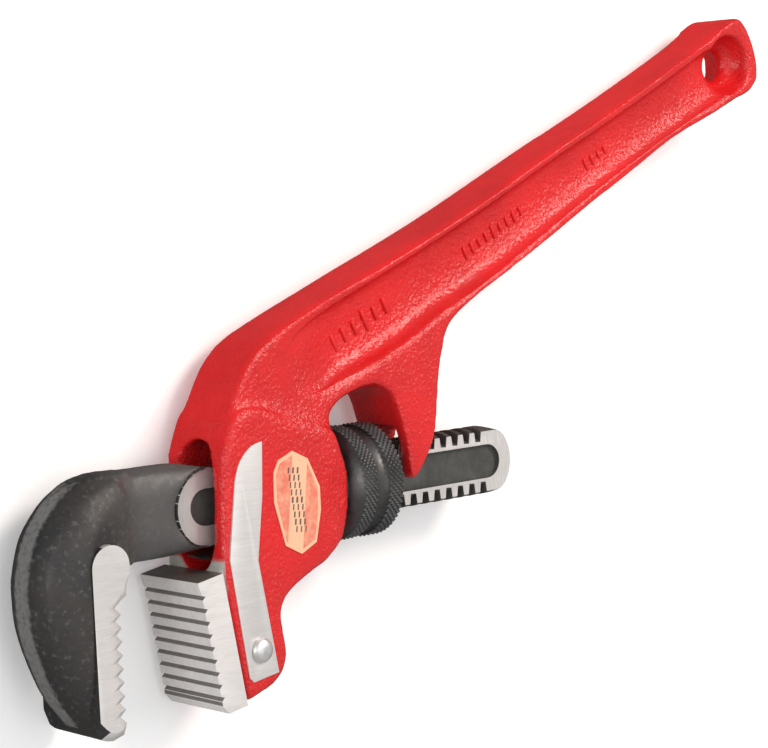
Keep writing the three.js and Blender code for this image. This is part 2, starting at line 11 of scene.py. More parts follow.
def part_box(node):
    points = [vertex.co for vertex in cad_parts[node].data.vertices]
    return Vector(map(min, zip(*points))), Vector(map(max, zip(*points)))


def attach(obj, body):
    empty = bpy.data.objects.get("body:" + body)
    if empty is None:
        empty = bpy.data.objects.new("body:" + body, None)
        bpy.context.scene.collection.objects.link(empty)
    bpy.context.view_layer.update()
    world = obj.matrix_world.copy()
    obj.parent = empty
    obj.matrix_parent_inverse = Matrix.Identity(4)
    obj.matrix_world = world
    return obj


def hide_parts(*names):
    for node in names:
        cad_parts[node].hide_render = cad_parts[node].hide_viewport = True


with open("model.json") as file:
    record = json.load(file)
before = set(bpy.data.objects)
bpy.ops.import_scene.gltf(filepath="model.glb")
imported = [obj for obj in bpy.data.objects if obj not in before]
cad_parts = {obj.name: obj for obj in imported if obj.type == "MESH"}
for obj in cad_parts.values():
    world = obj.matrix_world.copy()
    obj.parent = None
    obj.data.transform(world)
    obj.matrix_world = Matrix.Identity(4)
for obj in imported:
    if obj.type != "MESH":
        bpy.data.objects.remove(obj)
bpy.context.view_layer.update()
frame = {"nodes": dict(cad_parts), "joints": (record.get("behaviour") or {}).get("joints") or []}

bl_info = {
    "name": "Offset Pipe Wrench",
    "version": (1, 0, 0),
    "blender": (4, 5, 0),
    "location": "View3D > Sidebar > Pipe Wrench",
    "description": "Builds the cast, forged and ground pieces of an offset pipe wrench",
    "category": "Object",
}

MM = 0.001
NUT_MIDDLE = 51.5  # ring centre on the shank to the middle of the nut, along X
HOUSING_HALF = 12.5  # mid-plane to the cast side of the housing
STRIP_LEVEL = 12.8  # mid-plane to the milled strips
RING_RADIUS = 10.0  # the shank's round left end
SHANK_FLAT = 4.9  # mid-plane to the shank's milled flats


def ring_centre():
    """The centre of the shank's milled ring at rest: the point that shapes are measured from."""
    rock = next(joint for joint in frame["joints"] if joint["name"] == "jaw_rock")
    return Vector(rock["pos_m"]) - Vector((NUT_MIDDLE * MM, 0, 0))


# ---- mesh tools: shapes are in millimetres from the ring centre ---------------------------
def link(name, mesh):
    piece = bpy.data.objects.new(name, mesh)
    bpy.context.scene.collection.objects.link(piece)
    return piece


def make(name, corners, faces):
    """A new object from corners in millimetres about the ring centre."""
    origin = ring_centre()
    mesh = bpy.data.meshes.new(name)
    mesh.from_pydata([origin + Vector(corner) * MM for corner in corners], [], faces)
    mesh.update()
    return link(name, mesh)


def cad_copy(node, name):
    """A CAD node's shape as a new object, with the points that its triangles share merged."""
    source = frame["nodes"][node].data
    mesh = bpy.data.meshes.new(name)
    mesh.from_pydata([v.co for v in source.vertices], [], [p.vertices[:] for p in source.polygons])
    shape = bmesh.new()
    shape.from_mesh(mesh)
    bmesh.ops.remove_doubles(shape, verts=shape.verts, dist=1e-6)
    shape.to_mesh(mesh)
    shape.free()
    return link(name, mesh)


def settle(piece):
    """Turns what the modifiers give into the piece's own mesh and takes them off."""
    graph = bpy.context.evaluated_depsgraph_get()
    mesh = bpy.data.meshes.new_from_object(piece.evaluated_get(graph))
    mesh.name = piece.name
    piece.modifiers.clear()
    piece.data = mesh
    return piece


def carve(piece, tool, operation):
    """Keeps or removes what a piece shares with a tool, then drops the tool."""
    cut = piece.modifiers.new(operation, "BOOLEAN")
    cut.operation = operation
    cut.solver = "EXACT"
    cut.object = tool
    settle(piece)
    bpy.data.objects.remove(tool)
    return piece


def remesh(piece, voxel):
    """Rebuilds a piece as an even skin of small quads."""
    skin = piece.modifiers.new("skin", "REMESH")
    skin.mode = "VOXEL"
    skin.voxel_size = voxel
    return settle(piece)


def bevel(piece, width, angle=30, segments=2):
    """Breaks the sharp edges of a machined piece."""
    shape = bmesh.new()
    shape.from_mesh(piece.data)
    flat = math.radians(1)
    bmesh.ops.dissolve_limit(shape, angle_limit=flat, verts=shape.verts, edges=shape.edges)
    shape.to_mesh(piece.data)
    shape.free()
    edge = piece.modifiers.new("edge", "BEVEL")
    edge.width = width
    edge.segments = segments
    edge.limit_method = "ANGLE"
    edge.angle_limit = math.radians(angle)
    edge.harden_normals = False
    return settle(piece)


def smooth(piece, angle=None):
    """Shades a piece smooth, with its edges past an angle kept sharp."""
    piece.data.shade_smooth()
    if angle is not None:
        piece.data.set_sharp_from_angle(angle=math.radians(angle))
    return piece


def points_of(piece):
    """A piece's points as rows of millimetres about the ring centre."""
    flat = np.zeros(len(piece.data.vertices) * 3)
    piece.data.vertices.foreach_get("co", flat)
    return (flat.reshape(-1, 3) - np.array(ring_centre())) / MM


def set_points(piece, points):
    piece.data.vertices.foreach_set("co", (points * MM + np.array(ring_centre())).ravel())
    piece.data.update()


def keep_inside(points, node):
    """Holds points, in millimetres about the ring centre, within a CAD node's box."""
    low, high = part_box(node)
    centre = ring_centre()
    np.clip(points, np.array(low - centre) / MM, np.array(high - centre) / MM, out=points)
    return points


def normals_of(piece):
    flat = np.zeros(len(piece.data.vertices) * 3)
    piece.data.vertex_normals.foreach_get("vector", flat)
    return flat.reshape(-1, 3)


def edges_of(piece):
    flat = np.zeros(len(piece.data.edges) * 2, dtype=np.int64)
    piece.data.edges.foreach_get("vertices", flat)
    return flat.reshape(-1, 2)


def relax(points, edges, weight, rounds, axes=(0, 1, 2)):
    """Moves each point towards the middle of its neighbours, by its weight."""
    count = len(points)
    first, second = edges[:, 0], edges[:, 1]
    degree = np.bincount(edges.ravel(), minlength=count)
    for _ in range(rounds):
        for axis in axes:
            line = points[:, axis]
            total = np.bincount(first, weights=line[second], minlength=count)
            total += np.bincount(second, weights=line[first], minlength=count)
            line += 0.5 * weight * (total / degree - line)
    return points


def ramp(value, low, high):
    """0 below low, 1 above high, with a soft turn between them."""
    t = np.clip((value - low) / (high - low), 0, 1)
    return t * t * (3 - 2 * t)


def curve_through(knots, steps=8):
    """Points of a smooth line through its knots."""
    knots = np.array(knots, float)
    padded = np.vstack([2 * knots[0] - knots[1], knots, 2 * knots[-1] - knots[-2]])
    line = []
    for start in range(len(knots) - 1):
        a, b, c, d = padded[start:start + 4]
        for t in np.arange(steps) / steps:
            line.append(0.5 * (2 * b + (c - a) * t + (2 * a - 5 * b + 4 * c - d) * t * t
                               + (3 * b - a - 3 * c + d) * t ** 3))
    line.append(knots[-1])
    return np.array(line)


def distance_to(points, line):
    """Distance in XY from each point to a line of straight pieces."""
    best = np.full(len(points), np.inf)
    flat = points[:, :2]
    for start, end in zip(line[:-1], line[1:]):
        along = end - start
        t = np.clip((flat - start) @ along / (along @ along), 0, 1)
        gap = np.linalg.norm(flat - (start + t[:, None] * along), axis=1)
        best = np.minimum(best, gap)
    return best


def arc(centre, radius, start, end, steps=16):
    """Points of an arc in XY, with its angles in degrees."""
    angles = np.radians(np.linspace(start, end, steps + 1))
    return [(centre[0] + radius * math.cos(a), centre[1] + radius * math.sin(a)) for a in angles]


def prism(name, outline, low, high):
    """A closed solid with an XY outline from one Z to another."""
    count = len(outline)
    corners = [(x, y, low) for x, y in outline] + [(x, y, high) for x, y in outline]
    faces = [tuple(range(count))[::-1], tuple(range(count, 2 * count))]
    faces += [(i, (i + 1) % count, (i + 1) % count + count, i + count) for i in range(count)]
    piece = make(name, corners, faces)
    outward(piece)
    return piece


def outward(piece):
    shape = bmesh.new()
    shape.from_mesh(piece.data)
    bmesh.ops.recalc_face_normals(shape, faces=shape.faces)
    shape.to_mesh(piece.data)
    shape.free()


def turned(name, profile, base, axis, segments=64):
    """A turned piece: (height, radius) pairs along X, Y or Z from a base point."""
    spin_matrix = {"X": Matrix.Rotation(math.pi / 2, 4, "Y"), "Z": Matrix.Identity(4),
                   "Y": Matrix.Rotation(-math.pi / 2, 4, "X")}[axis]
    corners, rings = [], []
    for height, radius in profile:
        if radius == 0:
            rings.append([len(corners)])
            corners.append(Vector((0, 0, height)))
            continue
        rings.append(list(range(len(corners), len(corners) + segments)))
        for step in range(segments):
            angle = 2 * math.pi * step / segments
            corners.append(Vector((radius * math.cos(angle), radius * math.sin(angle), height)))
    faces = []
    for lower, upper in zip(rings[:-1], rings[1:]):
        for step in range(segments):
            ahead = (step + 1) % segments
            ring = [lower[step % len(lower)], lower[ahead % len(lower)],
                    upper[ahead % len(upper)], upper[step % len(upper)]]
            faces.append(tuple(dict.fromkeys(ring)))
    piece = make(name, [spin_matrix @ corner + Vector(base) for corner in corners], faces)
    if profile[0] == profile[-1]:
        weld(piece)
    outward(piece)
    return piece


def weld(piece):
    shape = bmesh.new()
    shape.from_mesh(piece.data)
    bmesh.ops.remove_doubles(shape, verts=shape.verts, dist=1e-7)
    shape.to_mesh(piece.data)
    shape.free()


def mark_points(piece, name, values):
    """Stores one number for each point, for a material to read."""
    layer = piece.data.attributes.new(name, "FLOAT", "POINT")
    layer.data.foreach_set("value", values.astype(np.float32))


def finish_piece(piece, material, body, replaced=()):
    """Gives a piece its material and its body, and hides the CAD parts that it replaces."""
    piece.data.materials.clear()
    piece.data.materials.append(material)
    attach(piece, body)
    if replaced:
        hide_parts(*replaced)
    return piece


# ---- material tools -----------------------------------------------------------------------
class Nodes:
    """Adds and joins the nodes of one material."""

    def __init__(self, name):
        self.material = bpy.data.materials.new(name)
        self.material.use_nodes = True
        self.tree = self.material.node_tree
        self.shader = self.tree.nodes["Principled BSDF"]
        self.place = self.add("ShaderNodeTexCoord").outputs["Object"]

    def add(self, kind, inputs=None, **settings):
        node = self.tree.nodes.new(kind)
        for name, value in settings.items():
            setattr(node, name, value)
        for name, value in (inputs or {}).items():
            if isinstance(value, bpy.types.NodeSocket):
                self.tree.links.new(value, node.inputs[name])
            else:
                node.inputs[name].default_value = value
        return node

    def noise(self, scale, detail=2.0, roughness=0.5, place=None):
        inputs = {"Vector": place or self.place, "Scale": scale, "Detail": detail,
                  "Roughness": roughness}
        return self.add("ShaderNodeTexNoise", inputs).outputs["Fac"]

    def cells(self, scale, feature="F1", place=None):
        inputs = {"Vector": place or self.place, "Scale": scale}
        return self.add("ShaderNodeTexVoronoi", inputs, feature=feature).outputs["Distance"]

    def stretched(self, scale, turn=(0, 0, 0)):
        """The place, drawn out so that a pattern runs in lines along one direction."""
        inputs = {"Vector": self.place, "Scale": scale, "Rotation": turn}
        return self.add("ShaderNodeMapping", inputs).outputs["Vector"]

    def math(self, operation, first, second=0.0, clamp=False):
        inputs = {0: first, 1: second}
        return self.add("ShaderNodeMath", inputs, operation=operation, use_clamp=clamp).outputs[0]

    def length(self, first, second):
        squares = [self.math("POWER", part, 2.0) for part in (first, second)]
        return self.math("SQRT", self.math("ADD", *squares))

    def about_ring(self):
        """The place's X, Y and Z, measured from the ring centre."""
        centre = [-part for part in ring_centre()]
        moved = self.add("ShaderNodeMapping", {"Vector": self.place, "Location": centre})
        return self.add("ShaderNodeSeparateXYZ", {"Vector": moved.outputs["Vector"]})

    def range(self, value, low, high, to_low=0.0, to_high=1.0):
        inputs = {"Value": value, "From Min": low, "From Max": high,
                  "To Min": to_low, "To Max": to_high}
        return self.add("ShaderNodeMapRange", inputs).outputs["Result"]

    def mix(self, share, first, second):
        node = self.tree.nodes.new("ShaderNodeMix")
        node.data_type = "RGBA"
        for socket, value in ((node.inputs[0], share), (node.inputs[6], first),
                              (node.inputs[7], second)):
            if isinstance(value, bpy.types.NodeSocket):
                self.tree.links.new(value, socket)
            elif socket.type == "RGBA":
                socket.default_value = (*value[:3], 1)
            else:
                socket.default_value = value
        return node.outputs[2]

    def attribute(self, name):
        return self.add("ShaderNodeAttribute", attribute_name=name).outputs["Fac"]

    def bump(self, height, strength, distance, normal=None):
        inputs = {"Height": height, "Strength": strength, "Distance": distance}
        if normal is not None:
            inputs["Normal"] = normal
        return self.add("ShaderNodeBump", inputs).outputs["Normal"]

    def set(self, **values):
        """Sets or links the shader's own sockets, with _ for the spaces in their names."""
        for name, value in values.items():
            socket = self.shader.inputs[name.replace("_", " ")]
            if isinstance(value, bpy.types.NodeSocket):
                self.tree.links.new(value, socket)
            elif socket.type == "RGBA":
                socket.default_value = (*value[:3], 1)
            else:
                socket.default_value = value
        return self.material


def finish_settings():
    return bpy.context.scene.wrench_finish


def size_settings():
    return bpy.context.scene.wrench_sizes


def enamel_material():
    """Glossy enamel over a pebbly sand casting, with painted highlight flecks on the sandy parts.
    """
    n = Nodes("enamel")
    look = finish_settings()
    coarse = n.attribute("grain")
    pebbles = n.cells(1050, "SMOOTH_F1")
    sand = n.noise(2300, 3, 0.6)
    waves = n.noise(300, 2, 0.5)
    height = n.math("ADD", n.math("MULTIPLY", pebbles, 1.1), n.math("MULTIPLY", sand, 0.5))
    height = n.math("ADD", height, n.math("MULTIPLY", waves, 0.8))
    height = n.math("MULTIPLY", height, coarse)
    tone = n.range(n.noise(38, 3, 0.6), 0.35, 0.7)
    deep = [part * 0.8 for part in look.enamel]
    colour = n.mix(tone, look.enamel[:3], deep)
    pits = n.range(n.noise(1300, 2, 0.5), 0.26, 0.36, 1.0, 0.0)
    pits = n.math("MULTIPLY", pits, n.range(coarse, 0.3, 1.0, 0.1, 0.7))
    colour = n.mix(pits, colour, [part * 0.4 for part in look.enamel])
    # painted highlight: salmon glint flecks are painted into the base colour of the sandy parts,
    # standing in for sparkle
    glint = n.range(n.noise(2100, 2, 0.6), 0.62, 0.7)
    glint = n.math("MULTIPLY", glint, n.range(coarse, 0.7, 1.15, 0.0, 0.35))
    colour = n.mix(glint, colour, look.glint[:3])
    colour = n.mix(n.attribute("bare"), colour, look.seat[:3])
    rough = n.range(n.noise(420, 2, 0.5), 0.3, 0.7, 0.17, 0.27)
    normal = n.bump(height, look.grain_strength, look.grain_depth)
    return n.set(Base_Color=colour, Roughness=rough, Normal=normal, Metallic=0.0,
                 Specular_IOR_Level=0.45)


def ground_steel_material(name, turn, shade, metal=0.4):
    """Ground steel with fine grinding lines along one direction."""
    n = Nodes(name)
    lines = n.noise(1.0, 3, 0.6, n.stretched((260, 3800, 3800), turn))
    wide = n.noise(1.0, 2, 0.5, n.stretched((60, 620, 620), turn))
    cloud = n.noise(70, 3, 0.55)
    tone = n.math("ADD", n.math("MULTIPLY", lines, 0.55), n.math("MULTIPLY", wide, 0.45))
    colour = n.mix(n.range(tone, 0.35, 0.68), [part * 0.82 for part in shade], shade)
    colour = n.mix(n.range(cloud, 0.42, 0.7, 0.0, 0.3), colour, [part * 0.8 for part in shade])
    rough = n.range(tone, 0.3, 0.7, 0.46, 0.3)
    normal = n.bump(tone, 0.25, 0.00006)
    return n.set(Base_Color=colour, Roughness=rough, Metallic=metal, Normal=normal,
                 Anisotropic=0.3)


def forged_material():
    """Black forging scale, worn lighter where the flash was ground off."""
    n = Nodes("forged_scale")
    look = finish_settings()
    worn = n.attribute("worn")
    blotch = n.noise(55, 4, 0.6)
    fine = n.noise(700, 3, 0.6)
    pits = n.range(n.cells(430), 0.06, 0.2, 1.0, 0.0)
    rare = n.range(n.noise(150, 2, 0.5), 0.52, 0.62)
    pits = n.math("MULTIPLY", pits, rare)
    warm = [look.scale[0] * 1.5, look.scale[1] * 1.32, look.scale[2] * 1.2]
    colour = n.mix(n.range(blotch, 0.38, 0.66), look.scale[:3], warm)
    colour = n.mix(n.range(fine, 0.52, 0.74, 0.0, 0.25), colour, (0.12, 0.117, 0.114))
    colour = n.mix(n.math("MULTIPLY", pits, 0.6), colour, (0.012, 0.012, 0.012))
    colour = n.mix(n.math("MULTIPLY", n.attribute("pale"), 0.55), colour, look.neck[:3])
    bare = n.range(n.math("ADD", worn, n.range(fine, 0.3, 0.7, -0.35, 0.35)), 0.15, 1.05)
    colour = n.mix(n.math("MULTIPLY", bare, 0.85), colour, look.worn_edge[:3])
    rough = n.range(n.noise(240, 3, 0.6), 0.3, 0.7, 0.42, 0.58)
    height = n.math("ADD", n.math("MULTIPLY", fine, 0.5), n.noise(190, 3, 0.6))
    height = n.math("SUBTRACT", height, n.math("MULTIPLY", pits, 0.7))
    normal = n.bump(height, 0.5, 0.00025)
    return n.set(Base_Color=colour, Roughness=rough, Metallic=0.2, Normal=normal)


def shank_material():
    """Milled flats and thread crests in bare steel, with the recess and grooves left black, and
    painted shade on the steel near the ring.
    """
    n = Nodes("shank_steel")
    look = finish_settings()
    split = n.about_ring()
    level = n.math("ABSOLUTE", split.outputs["Z"])
    flat = n.range(level, (SHANK_FLAT - 0.2) * MM, (SHANK_FLAT - 0.08) * MM)
    above = n.range(level, (SHANK_FLAT + 0.06) * MM, (SHANK_FLAT + 0.12) * MM, 1.0, 0.0)
    bare = n.math("MULTIPLY", flat, above)
    from_ring = n.length(split.outputs["X"], split.outputs["Y"])
    on_ring = n.range(from_ring, (RING_RADIUS - 0.04) * MM, (RING_RADIUS + 0.04) * MM, 1.0, 0.0)
    ahead = n.range(split.outputs["X"], -0.0004, 0.0004)
    bare = n.math("MULTIPLY", bare, n.math("MAXIMUM", on_ring, ahead))
    lines = n.noise(1.0, 3, 0.6, n.stretched((2600, 240, 240)))
    cloud = n.noise(90, 3, 0.6)
    steel = n.mix(n.range(lines, 0.3, 0.7), [part * 0.74 for part in look.steel], look.steel[:3])
    steel = n.mix(n.range(cloud, 0.45, 0.75, 0.0, 0.35), steel,
                  [part * 0.7 for part in look.steel])
    # painted shade: within 30 mm of the ring centre the bare steel is darkened, most strongly from
    # 4 mm inwards
    steel = n.mix(n.range(split.outputs["X"], 0.004, 0.03, 0.5, 0.0), steel,
                  [part * 0.45 for part in look.steel])
    fine = n.noise(800, 3, 0.6)
    black = n.mix(n.range(n.noise(130, 3, 0.6), 0.35, 0.7), (0.06, 0.061, 0.057),
                  (0.11, 0.111, 0.104))
    black = n.mix(n.range(fine, 0.6, 0.72, 0.0, 0.3), black, (0.14, 0.14, 0.14))
    colour = n.mix(bare, black, steel)
    rough = n.range(bare, 0.0, 1.0, 0.46, 0.36)
    metal = n.range(bare, 0.0, 1.0, 0.3, 0.4)
    height = n.math("ADD", n.math("MULTIPLY", lines, bare), n.math("MULTIPLY", fine, 0.8))
    normal = n.bump(height, 0.25, 0.00008)
    return n.set(Base_Color=colour, Roughness=rough, Metallic=metal, Normal=normal)


def black_oxide_material():
    """Oiled black oxide that rubs grey on its raised edges."""
    n = Nodes("black_oxide")
    look = finish_settings()
    split = n.about_ring()
    away = n.length(split.outputs["Y"], split.outputs["Z"])
    fine = n.noise(900, 3, 0.6)
    edge = n.range(away, 0.01578, 0.01596)
    rub = n.math("MULTIPLY", edge, n.range(fine, 0.35, 0.62))
    colour = n.mix(n.range(n.noise(120, 3, 0.6), 0.35, 0.7), look.oxide[:3],
                   [part * 1.9 for part in look.oxide])
    colour = n.mix(n.math("MULTIPLY", rub, 0.55), colour, (0.2, 0.2, 0.2))
    rough = n.range(n.noise(500, 2, 0.5), 0.3, 0.7, 0.3, 0.46)
    normal = n.bump(fine, n.range(away, 0.0155, 0.0157, 0.3, 0.9), 0.00016)
    return n.set(Base_Color=colour, Roughness=rough, Metallic=0.6, Normal=normal)


def bright_steel_material(name, shade, rough):
    """Plain bright steel with faint turning marks."""
    n = Nodes(name)
    fine = n.noise(1400, 3, 0.6)
    cloud = n.noise(260, 3, 0.6)
    colour = n.mix(n.range(cloud, 0.4, 0.7), shade, [part * 0.8 for part in shade])
    roughness = n.range(fine, 0.3, 0.7, rough * 0.8, rough * 1.25)
    normal = n.bump(fine, 0.15, 0.00004)
    return n.set(Base_Color=colour, Roughness=roughness, Metallic=1.0, Normal=normal)


def film_material(name, shade, rough=0.42, fleck=0.12):
    """Printed plastic film, slightly mottled."""
    n = Nodes(name)
    mottle = n.noise(900, 3, 0.65)
    cloud = n.noise(160, 2, 0.5)
    colour = n.mix(n.range(mottle, 0.35, 0.7, 0.0, fleck * 4), shade,
                   [part * (1 - fleck) for part in shade])
    normal = n.bump(n.math("ADD", mottle, cloud), 0.25, 0.00006)
    return n.set(Base_Color=colour, Roughness=rough, Normal=normal, Specular_IOR_Level=0.4)


def tinted_film_material():
    """A print so thin that the enamel's red and its grain show through."""
    n = Nodes("decal_tint")
    look = finish_settings()
    patches = n.range(n.noise(420, 4, 0.65), 0.4, 0.66, 0.0, 0.55)
    colour = n.mix(patches, look.tint[:3], look.film[:3])
    normal = n.bump(n.cells(900, "SMOOTH_F1"), 0.3, 0.0001)
    return n.set(Base_Color=colour, Roughness=0.36, Normal=normal)


# ---- geometry node tools ------------------------------------------------------------------
class Tree:
    """Adds and joins the nodes of one geometry tree, and sets its named inputs."""

    def __init__(self, name):
        self.group = bpy.data.node_groups.new(name, "GeometryNodeTree")
        face = self.group.interface
        face.new_socket("Geometry", in_out="OUTPUT", socket_type="NodeSocketGeometry")
        self.source = self.group.nodes.new("NodeGroupInput")
        self.end = self.group.nodes.new("NodeGroupOutput")
        self.keys = {}

    def input(self, name, kind, value):
        socket = self.group.interface.new_socket(name, in_out="INPUT", socket_type=kind)
        self.keys[name] = (socket.identifier, value)
        return self.source.outputs[name]

    def add(self, kind, inputs=None, **settings):
        node = self.group.nodes.new(kind)
        for name, value in settings.items():
            setattr(node, name, value)
        for name, value in (inputs or {}).items():
            if isinstance(value, bpy.types.NodeSocket):
                self.group.links.new(value, node.inputs[name])
            else:
                node.inputs[name].default_value = value
        return node

    def math(self, operation, first, second=0.0):
        return self.add("ShaderNodeMath", {0: first, 1: second}, operation=operation).outputs[0]

    def vector(self, x=0.0, y=0.0, z=0.0):
        return self.add("ShaderNodeCombineXYZ", {"X": x, "Y": y, "Z": z}).outputs[0]

    def build(self, name, geometry, material):
        """Ends the tree, runs it once on an empty object and returns the plain mesh object."""
        solid = self.add("GeometryNodeRealizeInstances", {"Geometry": geometry}).outputs[0]
        coated = self.add("GeometryNodeSetMaterial", {"Geometry": solid, "Material": material})
        self.group.links.new(coated.outputs[0], self.end.inputs[0])
        piece = link(name, bpy.data.meshes.new(name))
        grower = piece.modifiers.new("grower", "NODES")
        grower.node_group = self.group
        for identifier, value in self.keys.values():
            grower[identifier] = value
        return settle(piece)


FLOAT = "NodeSocketFloat"
INT = "NodeSocketInt"
VECTOR = "NodeSocketVector"


def knurl_band(name, start, width, material):
    """A band of staggered, worn diamonds around the nut."""
    sizes = size_settings()
    tree = Tree(name + "_tree")
    middle = tree.input("Axis Point", VECTOR, ring_centre() + Vector((start * MM, 0, 0)))
    radius = tree.input("Band Radius", FLOAT, sizes.knurl_floor)
    pitch = tree.input("Diamond Pitch", FLOAT, sizes.knurl_pitch)
    height = tree.input("Diamond Height", FLOAT, sizes.knurl_height)
    around = tree.input("Diamonds Around", INT, sizes.knurl_count)
    row_gap = width * MM / sizes.knurl_rows
    rows = tree.input("Rows", INT, sizes.knurl_rows)
    gap = tree.input("Row Gap", FLOAT, row_gap)
    total = tree.math("MULTIPLY", around, rows)
    line = tree.add("GeometryNodeMeshLine", {"Count": total}).outputs[0]
    index = tree.add("GeometryNodeInputIndex").outputs[0]
    row = tree.math("FLOOR", tree.math("DIVIDE", index, around))
    step = tree.math("MODULO", index, around)
    stagger = tree.math("MULTIPLY", tree.math("MODULO", row, 2.0), 0.5)
    turn = tree.math("DIVIDE", tree.math("ADD", step, stagger), around)
    angle = tree.math("MULTIPLY", turn, 2 * math.pi)
    along = tree.math("MULTIPLY", tree.math("ADD", row, 0.5), gap)
    y = tree.math("MULTIPLY", tree.math("SINE", angle), tree.math("MULTIPLY", radius, -1.0))
    z = tree.math("MULTIPLY", tree.math("COSINE", angle), radius)
    place = tree.add("ShaderNodeVectorMath", {0: tree.vector(along, y, z), 1: middle},
                     operation="ADD").outputs[0]
    dots = tree.add("GeometryNodeSetPosition", {"Geometry": line, "Position": place}).outputs[0]
    half = tree.math("MULTIPLY", pitch, 0.56)
    crown = tree.math("MULTIPLY", pitch, 0.14)
    diamond = tree.add("GeometryNodeMeshCone", {
        "Vertices": 4, "Radius Top": crown, "Radius Bottom": half, "Depth": height,
    }).outputs[0]
    stretch = tree.vector(1.12, 1.0, 1.0)
    spun = tree.add("GeometryNodeInstanceOnPoints", {
        "Points": dots, "Instance": diamond, "Rotation": tree.vector(angle, 0.0, 0.0),
        "Scale": stretch,
    }).outputs[0]
    return tree.build(name, spun, material)


def helix_wire(name, axis_point, turn, radius, pitch, turns, wire, phase, material):
    """A round wire wound about its own Z axis, then turned and put in place."""
    tree = Tree(name + "_tree")
    coils = tree.input("Turns", FLOAT, turns)
    reach = tree.input("Coil Radius", FLOAT, radius * MM)
    rise = tree.input("Pitch", FLOAT, pitch * MM)
    thick = tree.input("Wire Radius", FLOAT, wire * MM)
    start = tree.input("Start Point", VECTOR, ring_centre() + Vector(axis_point) * MM)
    height = tree.math("MULTIPLY", coils, rise)
    spiral = tree.add("GeometryNodeCurveSpiral", {
        "Resolution": 40, "Rotations": coils, "Start Radius": reach, "End Radius": reach,
        "Height": height, "Reverse": True,
    }).outputs[0]
    section = tree.add("GeometryNodeCurvePrimitiveCircle", {"Resolution": 12, "Radius": thick})
    tube = tree.add("GeometryNodeCurveToMesh", {
        "Curve": spiral, "Profile Curve": section.outputs[0], "Fill Caps": True}).outputs[0]
    started = tree.add("GeometryNodeTransform", {
        "Geometry": tube, "Rotation": (0, 0, phase)}).outputs[0]
    placed = tree.add("GeometryNodeTransform", {
        "Geometry": started, "Translation": start, "Rotation": turn}).outputs[0]
    return tree.build(name, placed, material)


def bar_row(name, start, ahead, count, size, lean, material):
    """Raised bars set out along a line on one face: two neighbours never have one length."""
    tree = Tree(name + "_tree")
    begin = tree.input("Start", VECTOR, ring_centre() + Vector(start) * MM)
    step = tree.input("Step", VECTOR, Vector(ahead) * MM)
    number = tree.input("Count", INT, count)
    bar = tree.input("Bar Size", VECTOR, Vector(size) * MM)
    seed = tree.input("Seed", INT, 7)
    line = tree.add("GeometryNodeMeshLine", {
        "Count": number, "Start Location": begin, "Offset": step}, mode="OFFSET").outputs[0]
    block = tree.add("GeometryNodeMeshCube", {"Size": bar}).outputs[0]
    spread = tree.add("FunctionNodeRandomValue", {2: 0.62, 3: 1.0, "Seed": seed},
                      data_type="FLOAT").outputs[1]
    row = tree.add("GeometryNodeInstanceOnPoints", {
        "Points": line, "Instance": block, "Rotation": (0.0, 0.0, lean),
        "Scale": tree.vector(1.0, spread, 1.0),
    }).outputs[0]
    return tree.build(name, row, material)


# ---- pieces -------------------------------------------------------------------------------
def pocket_line():
    """The middle line of the grip's hollow sides."""
    return curve_through([(33, 34), (47, 40), (62, 46), (80, 53.6), (101, 62), (140, 79.6),
                          (176, 96), (204, 109)])


def shape_casting(points, edges):
    """Turns the plain casting into one with rounded lips and wide hollow flanks."""
    points[:, 2] = np.clip(points[:, 2], -HOUSING_HALF, HOUSING_HALF)
    x, y = points[:, 0], points[:, 1]
    everywhere = np.ones(len(points))
    relax(points, edges, everywhere, 7)
    front = ramp(x, 7, 2) * ramp(y, -13, -9) * ramp(y, 13, 9)
    relax(points, edges, front, 40)
    depth = distance_to(points, pocket_line())
    rim = ramp(depth, 9.8, 11.2) * ramp(depth, 18, 16) * ramp(x, 14, 26)
    relax(points, edges, rim, 20)
    flank = ramp(depth, 11.2, 8.2)
    relax(points, edges, flank, 90, axes=(2,))
    root = ramp(points[:, 0], 47, 30) * ramp(depth, 10.5, 6)
    height = np.abs(points[:, 2])
    points[:, 2] += np.sign(points[:, 2]) * 0.62 * root * np.clip(11 - height, 0, None)
    relax(points, edges, ramp(points[:, 0], 60, 44) * ramp(depth, 14, 9), 80, axes=(2,))
    beside_nut = np.hypot((points[:, 0] - 41) / 8.5, (points[:, 1] + 3.5) / 12)
    scoop = 0.4 * ramp(beside_nut, 1.0, 0.35)
    points[:, 2] -= np.sign(points[:, 2]) * scoop * ramp(np.abs(points[:, 2]), 11.4, 12.2)
    relax(points, edges, everywhere, 2)
    return points


def roughen(points, normals, height, size, weight):
    """Pushes the skin in and out a little, as sand does to a casting."""
    for index in range(len(points)):
        if weight[index] <= 0:
            continue
        spot = Vector(points[index]) / size
        lift = noise.noise(spot) + 0.5 * noise.noise(spot * 2.3)
        points[index] += normals[index] * lift * height * weight[index]
    return points


def join(piece, others):
    """Adds the shapes of other objects to a piece and drops those objects."""
    shape = bmesh.new()
    for part in (piece, *others):
        shape.from_mesh(part.data)
    shape.to_mesh(piece.data)
    shape.free()
    for part in others:
        bpy.data.objects.remove(part)
    return piece


def cheek_plates():
    """The full round edge of the housing's cheeks, which cover the front of the nut."""
    edge = curve_through([(40.4, 15), (43, 8), (44.1, 3.6), (44.2, 0), (43.5, -7), (40.9, -14)])
    outline = [(33, 15)] + [tuple(point) for point in edge] + [(33, -14)]
    thick = 1.1
    return [prism(f"cheek_{side}", outline, low, low + thick) for side, low in
            (("upper", HOUSING_HALF - thick), ("lower", -HOUSING_HALF))]


